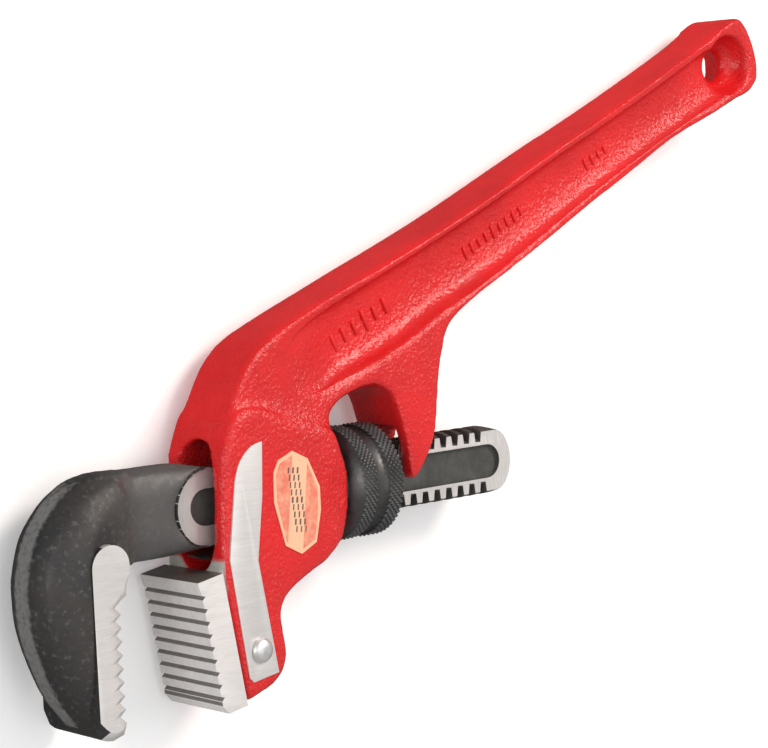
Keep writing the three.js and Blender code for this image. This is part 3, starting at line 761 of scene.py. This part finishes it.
class WRENCH_OT_casting(bpy.types.Operator):
    """Builds the cast housing and grip as one rounded, sandy skin"""
    bl_idname = "wrench.casting"
    bl_label = "Cast Handle"

    def execute(self, context):
        sizes = context.scene.wrench_sizes
        casting = join(cad_copy("handle", "handle_casting"), cheek_plates())
        remesh(casting, sizes.casting_voxel)
        edges = edges_of(casting)
        points = shape_casting(points_of(casting), edges)
        set_points(casting, points)
        normals = normals_of(casting)
        side = ramp(np.abs(normals[:, 2]), 0.5, 0.95)
        upper_face = ramp(normals[:, 1], 0.6, 0.9)
        weight = 0.55 + 0.45 * side - 0.3 * upper_face
        roughen(points, normals, sizes.sand_height / MM, sizes.sand_size / MM, weight)
        points[:, 2] = np.clip(points[:, 2], -12.62, 12.62)
        keep_inside(points, "handle")
        set_points(casting, points)
        depth = distance_to(points, pocket_line())
        patch = np.array([noise.noise(Vector(p) / 17) for p in points])
        slope = ramp(depth, 4.5, 6.5) * ramp(depth, 12, 10)
        grain = 0.6 + 0.5 * side + 0.35 * patch - 0.35 * slope - 0.25 * upper_face
        mark_points(casting, "grain", np.clip(grain, 0.1, 1.2))
        seat = ramp(normals[:, 0], -0.55, -0.85) * ramp(points[:, 1], -13.2, -14.4)
        mark_points(casting, "bare", seat * ramp(points[:, 1], -24, -20))
        smooth(casting)
        finish_piece(casting, enamel_material(), "handle", ["handle"])
        return {"FINISHED"}


def lifted_faces(node, name, level, depth):
    """The flat faces of a CAD node at one height as a plate of that depth, both sides alike."""
    plate = cad_copy(node, name)
    shape = bmesh.new()
    shape.from_mesh(plate.data)
    height = ring_centre().z + level * MM
    top = [f for f in shape.faces if all(abs(v.co.z - height) < 1e-5 for v in f.verts)]
    kept = set(top)
    bmesh.ops.delete(shape, geom=[f for f in shape.faces if f not in kept], context="FACES")
    grown = bmesh.ops.extrude_face_region(shape, geom=shape.faces[:])
    moved = [part for part in grown["geom"] if isinstance(part, bmesh.types.BMVert)]
    push = -depth * MM * (1 if level > 0 else -1)
    bmesh.ops.translate(shape, verts=moved, vec=(0, 0, push))
    bmesh.ops.recalc_face_normals(shape, faces=shape.faces)
    shape.to_mesh(plate.data)
    shape.free()
    return plate


class WRENCH_OT_side_strips(bpy.types.Operator):
    """Builds the bare milled strip on each side of the housing"""
    bl_idname = "wrench.side_strips"
    bl_label = "Milled Strips"

    def execute(self, context):
        look = context.scene.wrench_finish
        steel = ground_steel_material("milled_strip", (0, 0, math.radians(-74)), look.steel)
        for name, level in (("side_strip_upper", STRIP_LEVEL),
                            ("side_strip_lower", -STRIP_LEVEL)):
            strip = lifted_faces("handle", name, level, 0.8)
            bevel(strip, 0.12 * MM, angle=60)
            smooth(strip, 35)
            finish_piece(strip, steel, "handle")
        return {"FINISHED"}


class WRENCH_OT_cast_marks(bpy.types.Operator):
    """Sets plain raised bars in the hollow of the grip, on both sides"""
    bl_idname = "wrench.cast_marks"
    bl_label = "Cast Marks"

    def execute(self, context):
        enamel = bpy.data.materials["enamel"]
        lean = math.radians(24.5)
        fields = (("root", (43.5, 37.4), (3.9, 1.78), 7, (1.0, 6.6, 0.9)),
                  ("middle", (99.0, 60.8), (2.9, 1.36), 9, (0.8, 4.4, 0.8)),
                  ("end", (151.0, 84.4), (2.9, 1.38), 4, (0.8, 4.2, 0.8)))
        for side, level in (("upper", 4.35), ("lower", -4.35)):
            for place, start, ahead, count, size in fields:
                name = f"cast_mark_{place}_{side}"
                marks = bar_row(name, (*start, level), (*ahead, 0), count, size,
                                lean, enamel)
                bevel(marks, 0.25 * MM)
                mark_points(marks, "grain", np.full(len(marks.data.vertices), 0.5))
                smooth(marks, 50)
                finish_piece(marks, enamel, "handle")
        return {"FINISHED"}


def hook_back():
    """The hook's outer line, from the top of its neck round to its toe."""
    return curve_through([(6, 12.3), (-13, 12.3), (-32, 12.3), (-40, 10.4), (-46.4, 6.4),
                          (-52.4, -1), (-55.4, -9.8), (-56.1, -17), (-55, -27.5), (-50, -41),
                          (-45, -48.6), (-40.6, -53.2), (-37, -54.2)])


def neck_underside():
    return curve_through([(6, -11.9), (-12, -11.9), (-22, -11.9), (-26, -12.4)])


def strip_prism():
    """The block of the hook that is ground bare: round at its top, and as deep as its teeth."""
    middle, radius, top, foot = -36.4, 5.75, -10.0, -60
    outline = [(middle + radius, -16)] + arc((middle, top), radius, 0, 180)
    outline += [(middle - radius, foot), (-25, foot), (-25, -16)]
    return prism("strip_tool", outline, -20, 20)


def shank_prism():
    """The milled length of the shank, whose left end is the ring."""
    radius = 10.3
    outline = arc((0, 0), radius, 90, 270, 32) + [(130, -radius), (130, radius)]
    return prism("shank_tool", outline, -20, 20)


def shape_forging(points, edges):
    """Rounds the plate-like hook towards its back, where the flash was trimmed off."""
    x = points[:, 0]
    back = distance_to(points, hook_back())
    under = distance_to(points, neck_underside())
    gap = np.minimum(back, np.where(x > -27, under, back))
    reach = 5.4 + 8.2 * ramp(x, -24, -42)
    flash = 0.16 + 0.06 * ramp(x, -24, -42)
    t = np.clip(gap / reach, 0, 1)
    share = flash + (1 - flash) * np.sqrt(1 - (1 - t) ** 2)
    share = share * 0.985
    points[:, 2] *= share
    plan = np.interp(x, (-31, -28.6, -25.8, -22.4), (12.6, 11.7, 8, 6.6))
    points[:, 2] *= (6.6 + 6 * ramp(x, -19.5, -41)) / plan
    relax(points, edges, ramp(x, -44, -36) * ramp(x, -8, -13), 150, axes=(2,))
    relax(points, edges, np.ones(len(points)), 5)
    points[:, 0] += 0.9 * ramp(points[:, 0], -34, -46)
    return points, back


def recoat(piece, material, chosen):
    """Gives one more material to the faces that a test chooses."""
    piece.data.materials.append(material)
    for face in piece.data.polygons:
        if chosen(face):
            face.material_index = len(piece.data.materials) - 1


class WRENCH_OT_hook_jaw(bpy.types.Operator):
    """Builds the forged hook, its ground toothed face and its threaded shank"""
    bl_idname = "wrench.hook_jaw"
    bl_label = "Hook Jaw"

    def execute(self, context):
        sizes = context.scene.wrench_sizes
        look = context.scene.wrench_finish
        forging = cad_copy("hook_jaw", "hook_forging")
        carve(forging, strip_prism(), "DIFFERENCE")
        carve(forging, shank_prism(), "DIFFERENCE")
        remesh(forging, sizes.forging_voxel)
        edges = edges_of(forging)
        points, back = shape_forging(points_of(forging), edges)
        set_points(forging, points)
        normals = normals_of(forging)
        roughen(points, normals, 0.05, 2.4, np.ones(len(points)))
        points[:, 2] = np.clip(points[:, 2], -HOUSING_HALF, HOUSING_HALF)
        keep_inside(points, "hook_jaw")
        set_points(forging, points)
        band = ramp(back, 3.4, 0.2) * ramp(points[:, 0], -34, -46)
        band *= ramp(np.abs(points[:, 2]), 4.0, 2.0)
        mark_points(forging, "worn", band)
        mark_points(forging, "pale", ramp(points[:, 0], -38, -18))
        smooth(forging)
        finish_piece(forging, forged_material(), "jaw", ["hook_jaw"])

        face = cad_copy("hook_jaw", "hook_tooth_face")
        carve(face, strip_prism(), "INTERSECT")
        bevel(face, 0.1 * MM, segments=1)
        smooth(face, 30)
        steel = ground_steel_material("ground_face", (0, 0, math.radians(90)), look.steel)
        finish_piece(face, steel, "jaw")
        recoat(face, bpy.data.materials["forged_scale"], lambda side: side.normal.x < -0.3)

        shank = cad_copy("hook_jaw", "threaded_shank")
        carve(shank, shank_prism(), "INTERSECT")
        bevel(shank, 0.12 * MM, segments=1)
        smooth(shank, 30)
        finish_piece(shank, shank_material(), "jaw")
        return {"FINISHED"}


class WRENCH_OT_heel_jaw(bpy.types.Operator):
    """Builds the heel jaw block and the domed pin that holds it"""
    bl_idname = "wrench.heel_jaw"
    bl_label = "Heel Jaw"

    def execute(self, context):
        look = context.scene.wrench_finish
        block = cad_copy("heel_jaw", "heel_jaw_block")
        bevel(block, 0.14 * MM)
        smooth(block, 30)
        steel = ground_steel_material("brushed_block", (0, 0, math.radians(99)), look.steel,
                                      0.08)
        finish_piece(block, steel, "handle", ["heel_jaw"])
        corners = block.data.vertices
        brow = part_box("heel_jaw")[1].y - 1.2 * MM

        def on_top(side):
            return side.normal.y > 0.8 and side.center.y > brow

        def groove_floor(side):
            heights = [corners[corner].co.y / MM for corner in side.vertices]
            return side.normal.x < -0.6 and 0.7 < max(heights) - min(heights) < 1.55

        # painted shade: the top faces get a much darker steel, standing in for the dark housing
        # that the ground top reflects
        shaded = ground_steel_material("block_top_shade", (0, 0, math.radians(20)), look.heel_top_shade)
        recoat(block, shaded, on_top)
        # painted shade: the groove floors get a darker steel, for the shadow at the bottom of each
        # groove
        groove = ground_steel_material("block_groove_shade", (0, 0, math.radians(99)), look.groove)
        recoat(block, groove, groove_floor)

        low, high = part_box("heel_jaw_pin")
        pin_x, pin_y, _ = ((low + high) / 2 - ring_centre()) / MM
        pin_low, seat = -12.4, 12.86
        radius, head, dome = 2.6, 3.3, 1.72
        profile = [(pin_low, 0), (pin_low, radius - 0.3), (pin_low + 0.3, radius), (seat, radius),
                   (seat, head - 0.15), (seat + 0.12, head)]
        for step in range(1, 12):
            angle = math.pi / 2 * step / 12
            profile.append((seat + 0.12 + dome * math.sin(angle), head * math.cos(angle)))
        profile.append((seat + 0.12 + dome, 0))
        pin = turned("heel_jaw_pin_domed", profile, (pin_x, pin_y, 0), "Z")
        smooth(pin, 40)
        bright = bright_steel_material("bright_steel", look.bright[:3], 0.42)
        finish_piece(pin, bright, "handle", ["heel_jaw_pin"])
        return {"FINISHED"}


class WRENCH_OT_nut(bpy.types.Operator):
    """Builds the adjusting nut with its two knurled bands and its thread"""
    bl_idname = "wrench.nut"
    bl_label = "Adjusting Nut"

    def execute(self, context):
        sizes = context.scene.wrench_sizes
        floor = sizes.knurl_floor / MM
        front, hub_end, cone_end, band, groove_end, rear = 41.4, 44.9, 47.2, 51.5, 56.0, 61.6
        bore, hub, valley = 10.2, 10.9, 14.5
        profile = [(front, bore + 0.3), (front, hub - 0.2), (front + 0.2, hub), (hub_end, hub),
                   (cone_end - 0.9, floor - 0.8), (cone_end - 0.2, floor - 0.2),
                   (cone_end, floor), (band - 0.3, floor), (band, floor - 0.3)]
        for step in range(9):
            angle = math.pi * step / 8
            middle, half = (band + groove_end) / 2, (groove_end - band) / 2
            spread = middle - half * math.cos(angle)
            profile.append((spread, valley + 0.6 * (1 - math.sin(angle))))
        profile += [(groove_end, floor - 0.3), (groove_end + 0.3, floor), (rear - 0.9, floor),
                    (rear - 0.25, floor - 0.5), (rear, floor - 1.1), (rear, bore + 0.5),
                    (rear - 0.5, bore), (front + 0.3, bore), (front, bore + 0.3)]
        oxide = black_oxide_material()
        body = turned("nut_body", profile, (0, 0, 0), "X", 96)
        smooth(body, 40)
        finish_piece(body, oxide, "nut", ["adjusting_nut"])
        for name, start, width in (("nut_knurl_front", cone_end, band - cone_end),
                                   ("nut_knurl_rear", groove_end, rear - groove_end - 0.7)):
            knurl = knurl_band(name, start, width, oxide)
            finish_piece(knurl, oxide, "nut")
        pitch, ridge, sunk = 4.62, 0.95, 0.55
        turns = math.floor((rear - front) / pitch) - 0.6
        earliest = front + (rear - front - turns * pitch) / 2
        first = 16.9
        start = first + math.ceil((earliest - first) / pitch - 0.5) * pitch
        thread = helix_wire("nut_thread", (start, 0, 0), (0, math.pi / 2, 0), bore - sunk,
                            pitch, turns, ridge, math.pi / 2, oxide)
        smooth(thread)
        finish_piece(thread, oxide, "nut")
        return {"FINISHED"}


class WRENCH_OT_springs(bpy.types.Operator):
    """Builds the coil spring, the flat spring and the flat spring's rivet"""
    bl_idname = "wrench.springs"
    bl_label = "Springs"

    def execute(self, context):
        look = context.scene.wrench_finish
        steel = bright_steel_material("spring_steel", look.spring[:3], 0.32)
        low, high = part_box("coil_spring")
        centre = ring_centre()
        wire, radius, turns, lift = 0.6, 2.7, 6, 2.6
        bottom, top = (low.y - centre.y) / MM, (high.y - centre.y) / MM - lift
        middle = ((low.x + high.x) / 2 - centre.x) / MM
        pitch = (top - bottom - 2.4 * wire) / turns
        coil = helix_wire("spring_coil", (middle, bottom + 1.2 * wire, 0), (-math.pi / 2, 0, 0),
                          radius, pitch, turns, wire, 0.0, steel)
        smooth(coil)
        finish_piece(coil, steel, "spring_seat", ["coil_spring"])
        leaf = cad_copy("flat_spring", "spring_leaf")
        bevel(leaf, 0.12 * MM)
        smooth(leaf, 30)
        finish_piece(leaf, steel, "handle", ["flat_spring"])
        rivet = cad_copy("spring_rivet", "spring_rivet_head")
        bevel(rivet, 0.1 * MM)
        smooth(rivet, 40)
        finish_piece(rivet, steel, "handle", ["spring_rivet"])
        return {"FINISHED"}


def decal_outline(shrink):
    """The decal's long eight-sided shape, drawn in by a margin."""
    middle = Vector((24.9, -1.4))
    corners = [(0.7, -13.9), (6, -11.4), (8, -3), (8, 3.4), (4.2, 11.4), (-1, 14), (-6, 12),
               (-7.7, 9), (-8, 1), (-4.7, -11)]
    outline = []
    for corner in corners:
        corner = Vector(corner)
        outline.append(tuple(middle + corner * (1 - shrink / corner.length)))
    return outline


def clipped(outline, low, high):
    """The part of an outline between two lines along its length, which leans a little."""
    shape = bmesh.new()
    ring = [shape.verts.new((x, y, 0)) for x, y in outline]
    shape.faces.new(ring)
    across = Vector((math.cos(math.radians(-7)), math.sin(math.radians(-7)), 0))
    middle = Vector((24.9, -1.4, 0))
    for offset, sign in ((low, 1), (high, -1)):
        geometry = shape.verts[:] + shape.edges[:] + shape.faces[:]
        bmesh.ops.bisect_plane(shape, geom=geometry, plane_co=middle + across * offset,
                               plane_no=across * sign, clear_inner=True)
    loop = [tuple(loop.vert.co[:2]) for loop in shape.faces[:][0].loops]
    shape.free()
    return loop


class WRENCH_OT_decal(bpy.types.Operator):
    """Builds the printed decal: film, tinted side panels and plain unreadable bars"""
    bl_idname = "wrench.decal"
    bl_label = "Decal"

    def execute(self, context):
        look = context.scene.wrench_finish
        film = film_material("decal_film", look.film[:3])
        ink = film_material("decal_ink", look.ink[:3], 0.5)
        tint = tinted_film_material()
        base = prism("decal_base", decal_outline(0), 12.4, 12.82)
        finish_piece(base, film, "handle", ["side_label"])
        inner = decal_outline(1.0)
        for name, low, high in (("left", -9, -2.7), ("right", 2.7, 9)):
            panel = prism(f"decal_panel_{name}", clipped(inner, low, high), 12.5, 12.85)
            finish_piece(panel, tint, "handle")
        lean = math.radians(-97)
        for row, offset in enumerate((-1.6, 0.0, 1.6)):
            start = (24.9 + offset * 0.99 - 1.1, 7.4 - offset * 0.1, 12.83)
            bars = bar_row(f"decal_bars_{row}", start, (0.245, -2.0, 0), 9,
                           (1.6, 0.62, 0.08), lean, ink)
            finish_piece(bars, ink, "handle")
        return {"FINISHED"}


class WRENCH_OT_stage(bpy.types.Operator):
    """Sets the pale floor, the soft studio lights and the camera"""
    bl_idname = "wrench.stage"
    bl_label = "Stage"

    def execute(self, context):
        scene = context.scene
        floor = make_floor()
        floor.visible_glossy = False
        add_softbox("overhead", (-0.2, 0.1, 1.15), 0.9, 3.4)
        upper = add_softbox("upper", (0.5, 0.74, 0.98), 0.46, 11.0)
        upper.data.color = (1, 0.9, 0.82)
        add_softbox("left", (-1.1, 0.1, 0.5), 0.35, 3.0)
        world = bpy.data.worlds.new("studio")
        world.use_nodes = True
        light_sky(world.node_tree, above=0.5, below=0.1)
        scene.world = world
        scene.view_settings.view_transform = "Standard"
        add_camera(scene)
        return {"FINISHED"}


def light_sky(tree, above, below):
    """White light from above the floor's level, and little from below it."""
    spot = tree.nodes.new("ShaderNodeTexCoord").outputs["Generated"]
    split = tree.nodes.new("ShaderNodeSeparateXYZ")
    tree.links.new(spot, split.inputs[0])
    blend = tree.nodes.new("ShaderNodeMapRange")
    tree.links.new(split.outputs["Z"], blend.inputs["Value"])
    for name, value in (("From Min", -0.2), ("From Max", 0.1), ("To Min", below),
                        ("To Max", above)):
        blend.inputs[name].default_value = value
    sky = tree.nodes["Background"]
    sky.inputs["Color"].default_value = (1, 1, 1, 1)
    tree.links.new(blend.outputs["Result"], sky.inputs["Strength"])


def make_floor():
    half = 3.0
    mesh = bpy.data.meshes.new("floor")
    corners = [(-half, -half, 0), (half, -half, 0), (half, half, 0), (-half, half, 0)]
    mesh.from_pydata(corners, [], [(0, 1, 2, 3)])
    floor = link("floor", mesh)
    n = Nodes("floor_paper")
    mottle = n.noise(6, 2, 0.5)
    colour = n.mix(mottle, (0.93, 0.93, 0.93), (0.95, 0.95, 0.95))
    mesh.materials.append(n.set(Base_Color=colour, Roughness=0.9, Specular_IOR_Level=0.1,
                                Emission_Color=(1, 1, 1), Emission_Strength=0.16))
    return floor


def add_softbox(name, place, size, power):
    lamp = bpy.data.lights.new(name, "AREA")
    lamp.shape = "SQUARE"
    lamp.size = size
    lamp.energy = power
    box = bpy.data.objects.new(name, lamp)
    box.location = place
    box.rotation_euler = (-Vector(place)).to_track_quat("-Z", "Y").to_euler()
    bpy.context.scene.collection.objects.link(box)
    return box


def add_camera(scene):
    """A long lens above the jaws, turned so that the grip rises to the right."""
    lens = bpy.data.cameras.new("camera")
    lens.sensor_width = 36
    lens.lens = 111.09
    lens.shift_x = 0.00201
    lens.shift_y = -0.0012
    lens.clip_end = 20
    camera = bpy.data.objects.new("camera", lens)
    centre = ring_centre()
    right = Vector((0.73957, -0.04498, 0.67158))
    up = Vector((0.09181, 0.99518, -0.03445))
    back = right.cross(up)
    turn = Matrix((right, up, back)).transposed().to_4x4()
    camera.matrix_world = Matrix.Translation(centre + Vector((-376.07, 86.9, 493.9)) * MM) @ turn
    scene.collection.objects.link(camera)
    scene.camera = camera


# ---- settings and panel -------------------------------------------------------------------
class WrenchSizes(bpy.types.PropertyGroup):
    casting_voxel: bpy.props.FloatProperty(
        name="Casting Skin", description="Size of the quads on the cast handle",
        default=0.0007, min=0.0004, unit="LENGTH", precision=5)
    forging_voxel: bpy.props.FloatProperty(
        name="Forging Skin", description="Size of the quads on the hook forging",
        default=0.0005, min=0.0003, unit="LENGTH", precision=5)
    sand_height: bpy.props.FloatProperty(
        name="Sand Height", description="How far the sand lifts the cast skin",
        default=0.00009, unit="LENGTH", precision=6)
    sand_size: bpy.props.FloatProperty(
        name="Sand Size", description="Width of one bump of the cast skin",
        default=0.0019, unit="LENGTH", precision=5)
    knurl_floor: bpy.props.FloatProperty(
        name="Knurl Floor Radius", description="Radius of the nut under its diamonds",
        default=0.0155, unit="LENGTH", precision=5)
    knurl_pitch: bpy.props.FloatProperty(
        name="Knurl Pitch", description="Distance between two diamonds in a row",
        default=0.00156, unit="LENGTH", precision=5)
    knurl_height: bpy.props.FloatProperty(
        name="Knurl Height", description="Height of a diamond",
        default=0.00046, unit="LENGTH", precision=5)
    knurl_count: bpy.props.IntProperty(
        name="Diamonds Around", description="Diamonds in one row around the nut", default=60)
    knurl_rows: bpy.props.IntProperty(
        name="Diamond Rows", description="Rows of diamonds in one band", default=6)


class WrenchFinish(bpy.types.PropertyGroup):
    enamel: bpy.props.FloatVectorProperty(
        name="Enamel", description="Colour of the painted casting", subtype="COLOR", size=3,
        default=(0.72, 0.014, 0.016), min=0, max=1)
    # painted highlight: colour of the glint flecks painted on the sandy parts of the enamel
    glint: bpy.props.FloatVectorProperty(
        name="Enamel Glint", description="Colour of the light flecks on the sandy parts",
        subtype="COLOR", size=3, default=(0.95, 0.22, 0.16), min=0, max=1)
    seat: bpy.props.FloatVectorProperty(
        name="Bare Seat", description="Colour of the bare seat above the heel jaw",
        subtype="COLOR", size=3, default=(0.52, 0.5, 0.46), min=0, max=1)
    grain_strength: bpy.props.FloatProperty(
        name="Grain Strength", description="How strongly the sand shows", default=0.75,
        min=0, max=1, subtype="FACTOR")
    grain_depth: bpy.props.FloatProperty(
        name="Grain Depth", description="Depth of the fine sand grain",
        default=0.00034, unit="LENGTH", precision=6)
    neck: bpy.props.FloatVectorProperty(
        name="Neck Scale", description="Colour of the paler scale on the hook's neck",
        subtype="COLOR", size=3, default=(0.135, 0.132, 0.13), min=0, max=1)
    # painted shade: dark steel colour for the top faces of the heel jaw
    heel_top_shade: bpy.props.FloatVectorProperty(
        name="Heel Top", description="Colour of the dull top of the heel jaw",
        subtype="COLOR", size=3, default=(0.15, 0.13, 0.115), min=0, max=1)
    # painted shade: colour at the bottom of the heel jaw's grooves
    groove: bpy.props.FloatVectorProperty(
        name="Heel Groove", description="Colour of the grooves across the heel jaw",
        subtype="COLOR", size=3, default=(0.3, 0.28, 0.265), min=0, max=1)
    scale: bpy.props.FloatVectorProperty(
        name="Forging Scale", description="Colour of the black scale", subtype="COLOR", size=3,
        default=(0.026, 0.0255, 0.026), min=0, max=1)
    worn_edge: bpy.props.FloatVectorProperty(
        name="Worn Edge", description="Colour of the trimmed back of the hook",
        subtype="COLOR", size=3, default=(0.2, 0.196, 0.19), min=0, max=1)
    steel: bpy.props.FloatVectorProperty(
        name="Ground Steel", description="Colour of the ground faces", subtype="COLOR", size=3,
        default=(0.8, 0.77, 0.755), min=0, max=1)
    bright: bpy.props.FloatVectorProperty(
        name="Bright Steel", description="Colour of the domed pin", subtype="COLOR", size=3,
        default=(0.8, 0.79, 0.78), min=0, max=1)
    spring: bpy.props.FloatVectorProperty(
        name="Spring Steel", description="Colour of the springs", subtype="COLOR", size=3,
        default=(0.42, 0.42, 0.43), min=0, max=1)
    oxide: bpy.props.FloatVectorProperty(
        name="Black Oxide", description="Colour of the adjusting nut", subtype="COLOR", size=3,
        default=(0.056, 0.055, 0.055), min=0, max=1)
    film: bpy.props.FloatVectorProperty(
        name="Decal Film", description="Colour of the printed film", subtype="COLOR", size=3,
        default=(0.88, 0.52, 0.33), min=0, max=1)
    tint: bpy.props.FloatVectorProperty(
        name="Decal Tint", description="Colour of the thin side panels", subtype="COLOR",
        size=3, default=(0.78, 0.2, 0.13), min=0, max=1)
    ink: bpy.props.FloatVectorProperty(
        name="Decal Ink", description="Colour of the decal's bars", subtype="COLOR", size=3,
        default=(0.16, 0.1, 0.07), min=0, max=1)


OPERATORS = (WRENCH_OT_stage, WRENCH_OT_casting, WRENCH_OT_side_strips, WRENCH_OT_cast_marks,
             WRENCH_OT_hook_jaw, WRENCH_OT_heel_jaw, WRENCH_OT_nut, WRENCH_OT_springs,
             WRENCH_OT_decal)


class WRENCH_PT_panel(bpy.types.Panel):
    """Lists the wrench's pieces and the settings that shape them"""
    bl_label = "Pipe Wrench"
    bl_idname = "WRENCH_PT_panel"
    bl_space_type = "VIEW_3D"
    bl_region_type = "UI"
    bl_category = "Pipe Wrench"

    def draw(self, context):
        for operator in OPERATORS:
            self.layout.operator(operator.bl_idname)
        for settings in (context.scene.wrench_sizes, context.scene.wrench_finish):
            box = self.layout.box()
            for name in type(settings).__annotations__:
                box.prop(settings, name)


CLASSES = (WrenchSizes, WrenchFinish, *OPERATORS, WRENCH_PT_panel)


def register():
    for kind in CLASSES:
        bpy.utils.register_class(kind)
    bpy.types.Scene.wrench_sizes = bpy.props.PointerProperty(type=WrenchSizes)
    bpy.types.Scene.wrench_finish = bpy.props.PointerProperty(type=WrenchFinish)


def unregister():
    del bpy.types.Scene.wrench_finish
    del bpy.types.Scene.wrench_sizes
    for kind in reversed(CLASSES):
        bpy.utils.unregister_class(kind)


def main():
    register()
    bpy.ops.wrench.stage()
    bpy.ops.wrench.casting()
    bpy.ops.wrench.side_strips()
    bpy.ops.wrench.cast_marks()
    bpy.ops.wrench.hook_jaw()
    bpy.ops.wrench.heel_jaw()
    bpy.ops.wrench.nut()
    bpy.ops.wrench.springs()
    bpy.ops.wrench.decal()


if __name__ == "__main__":
    main()
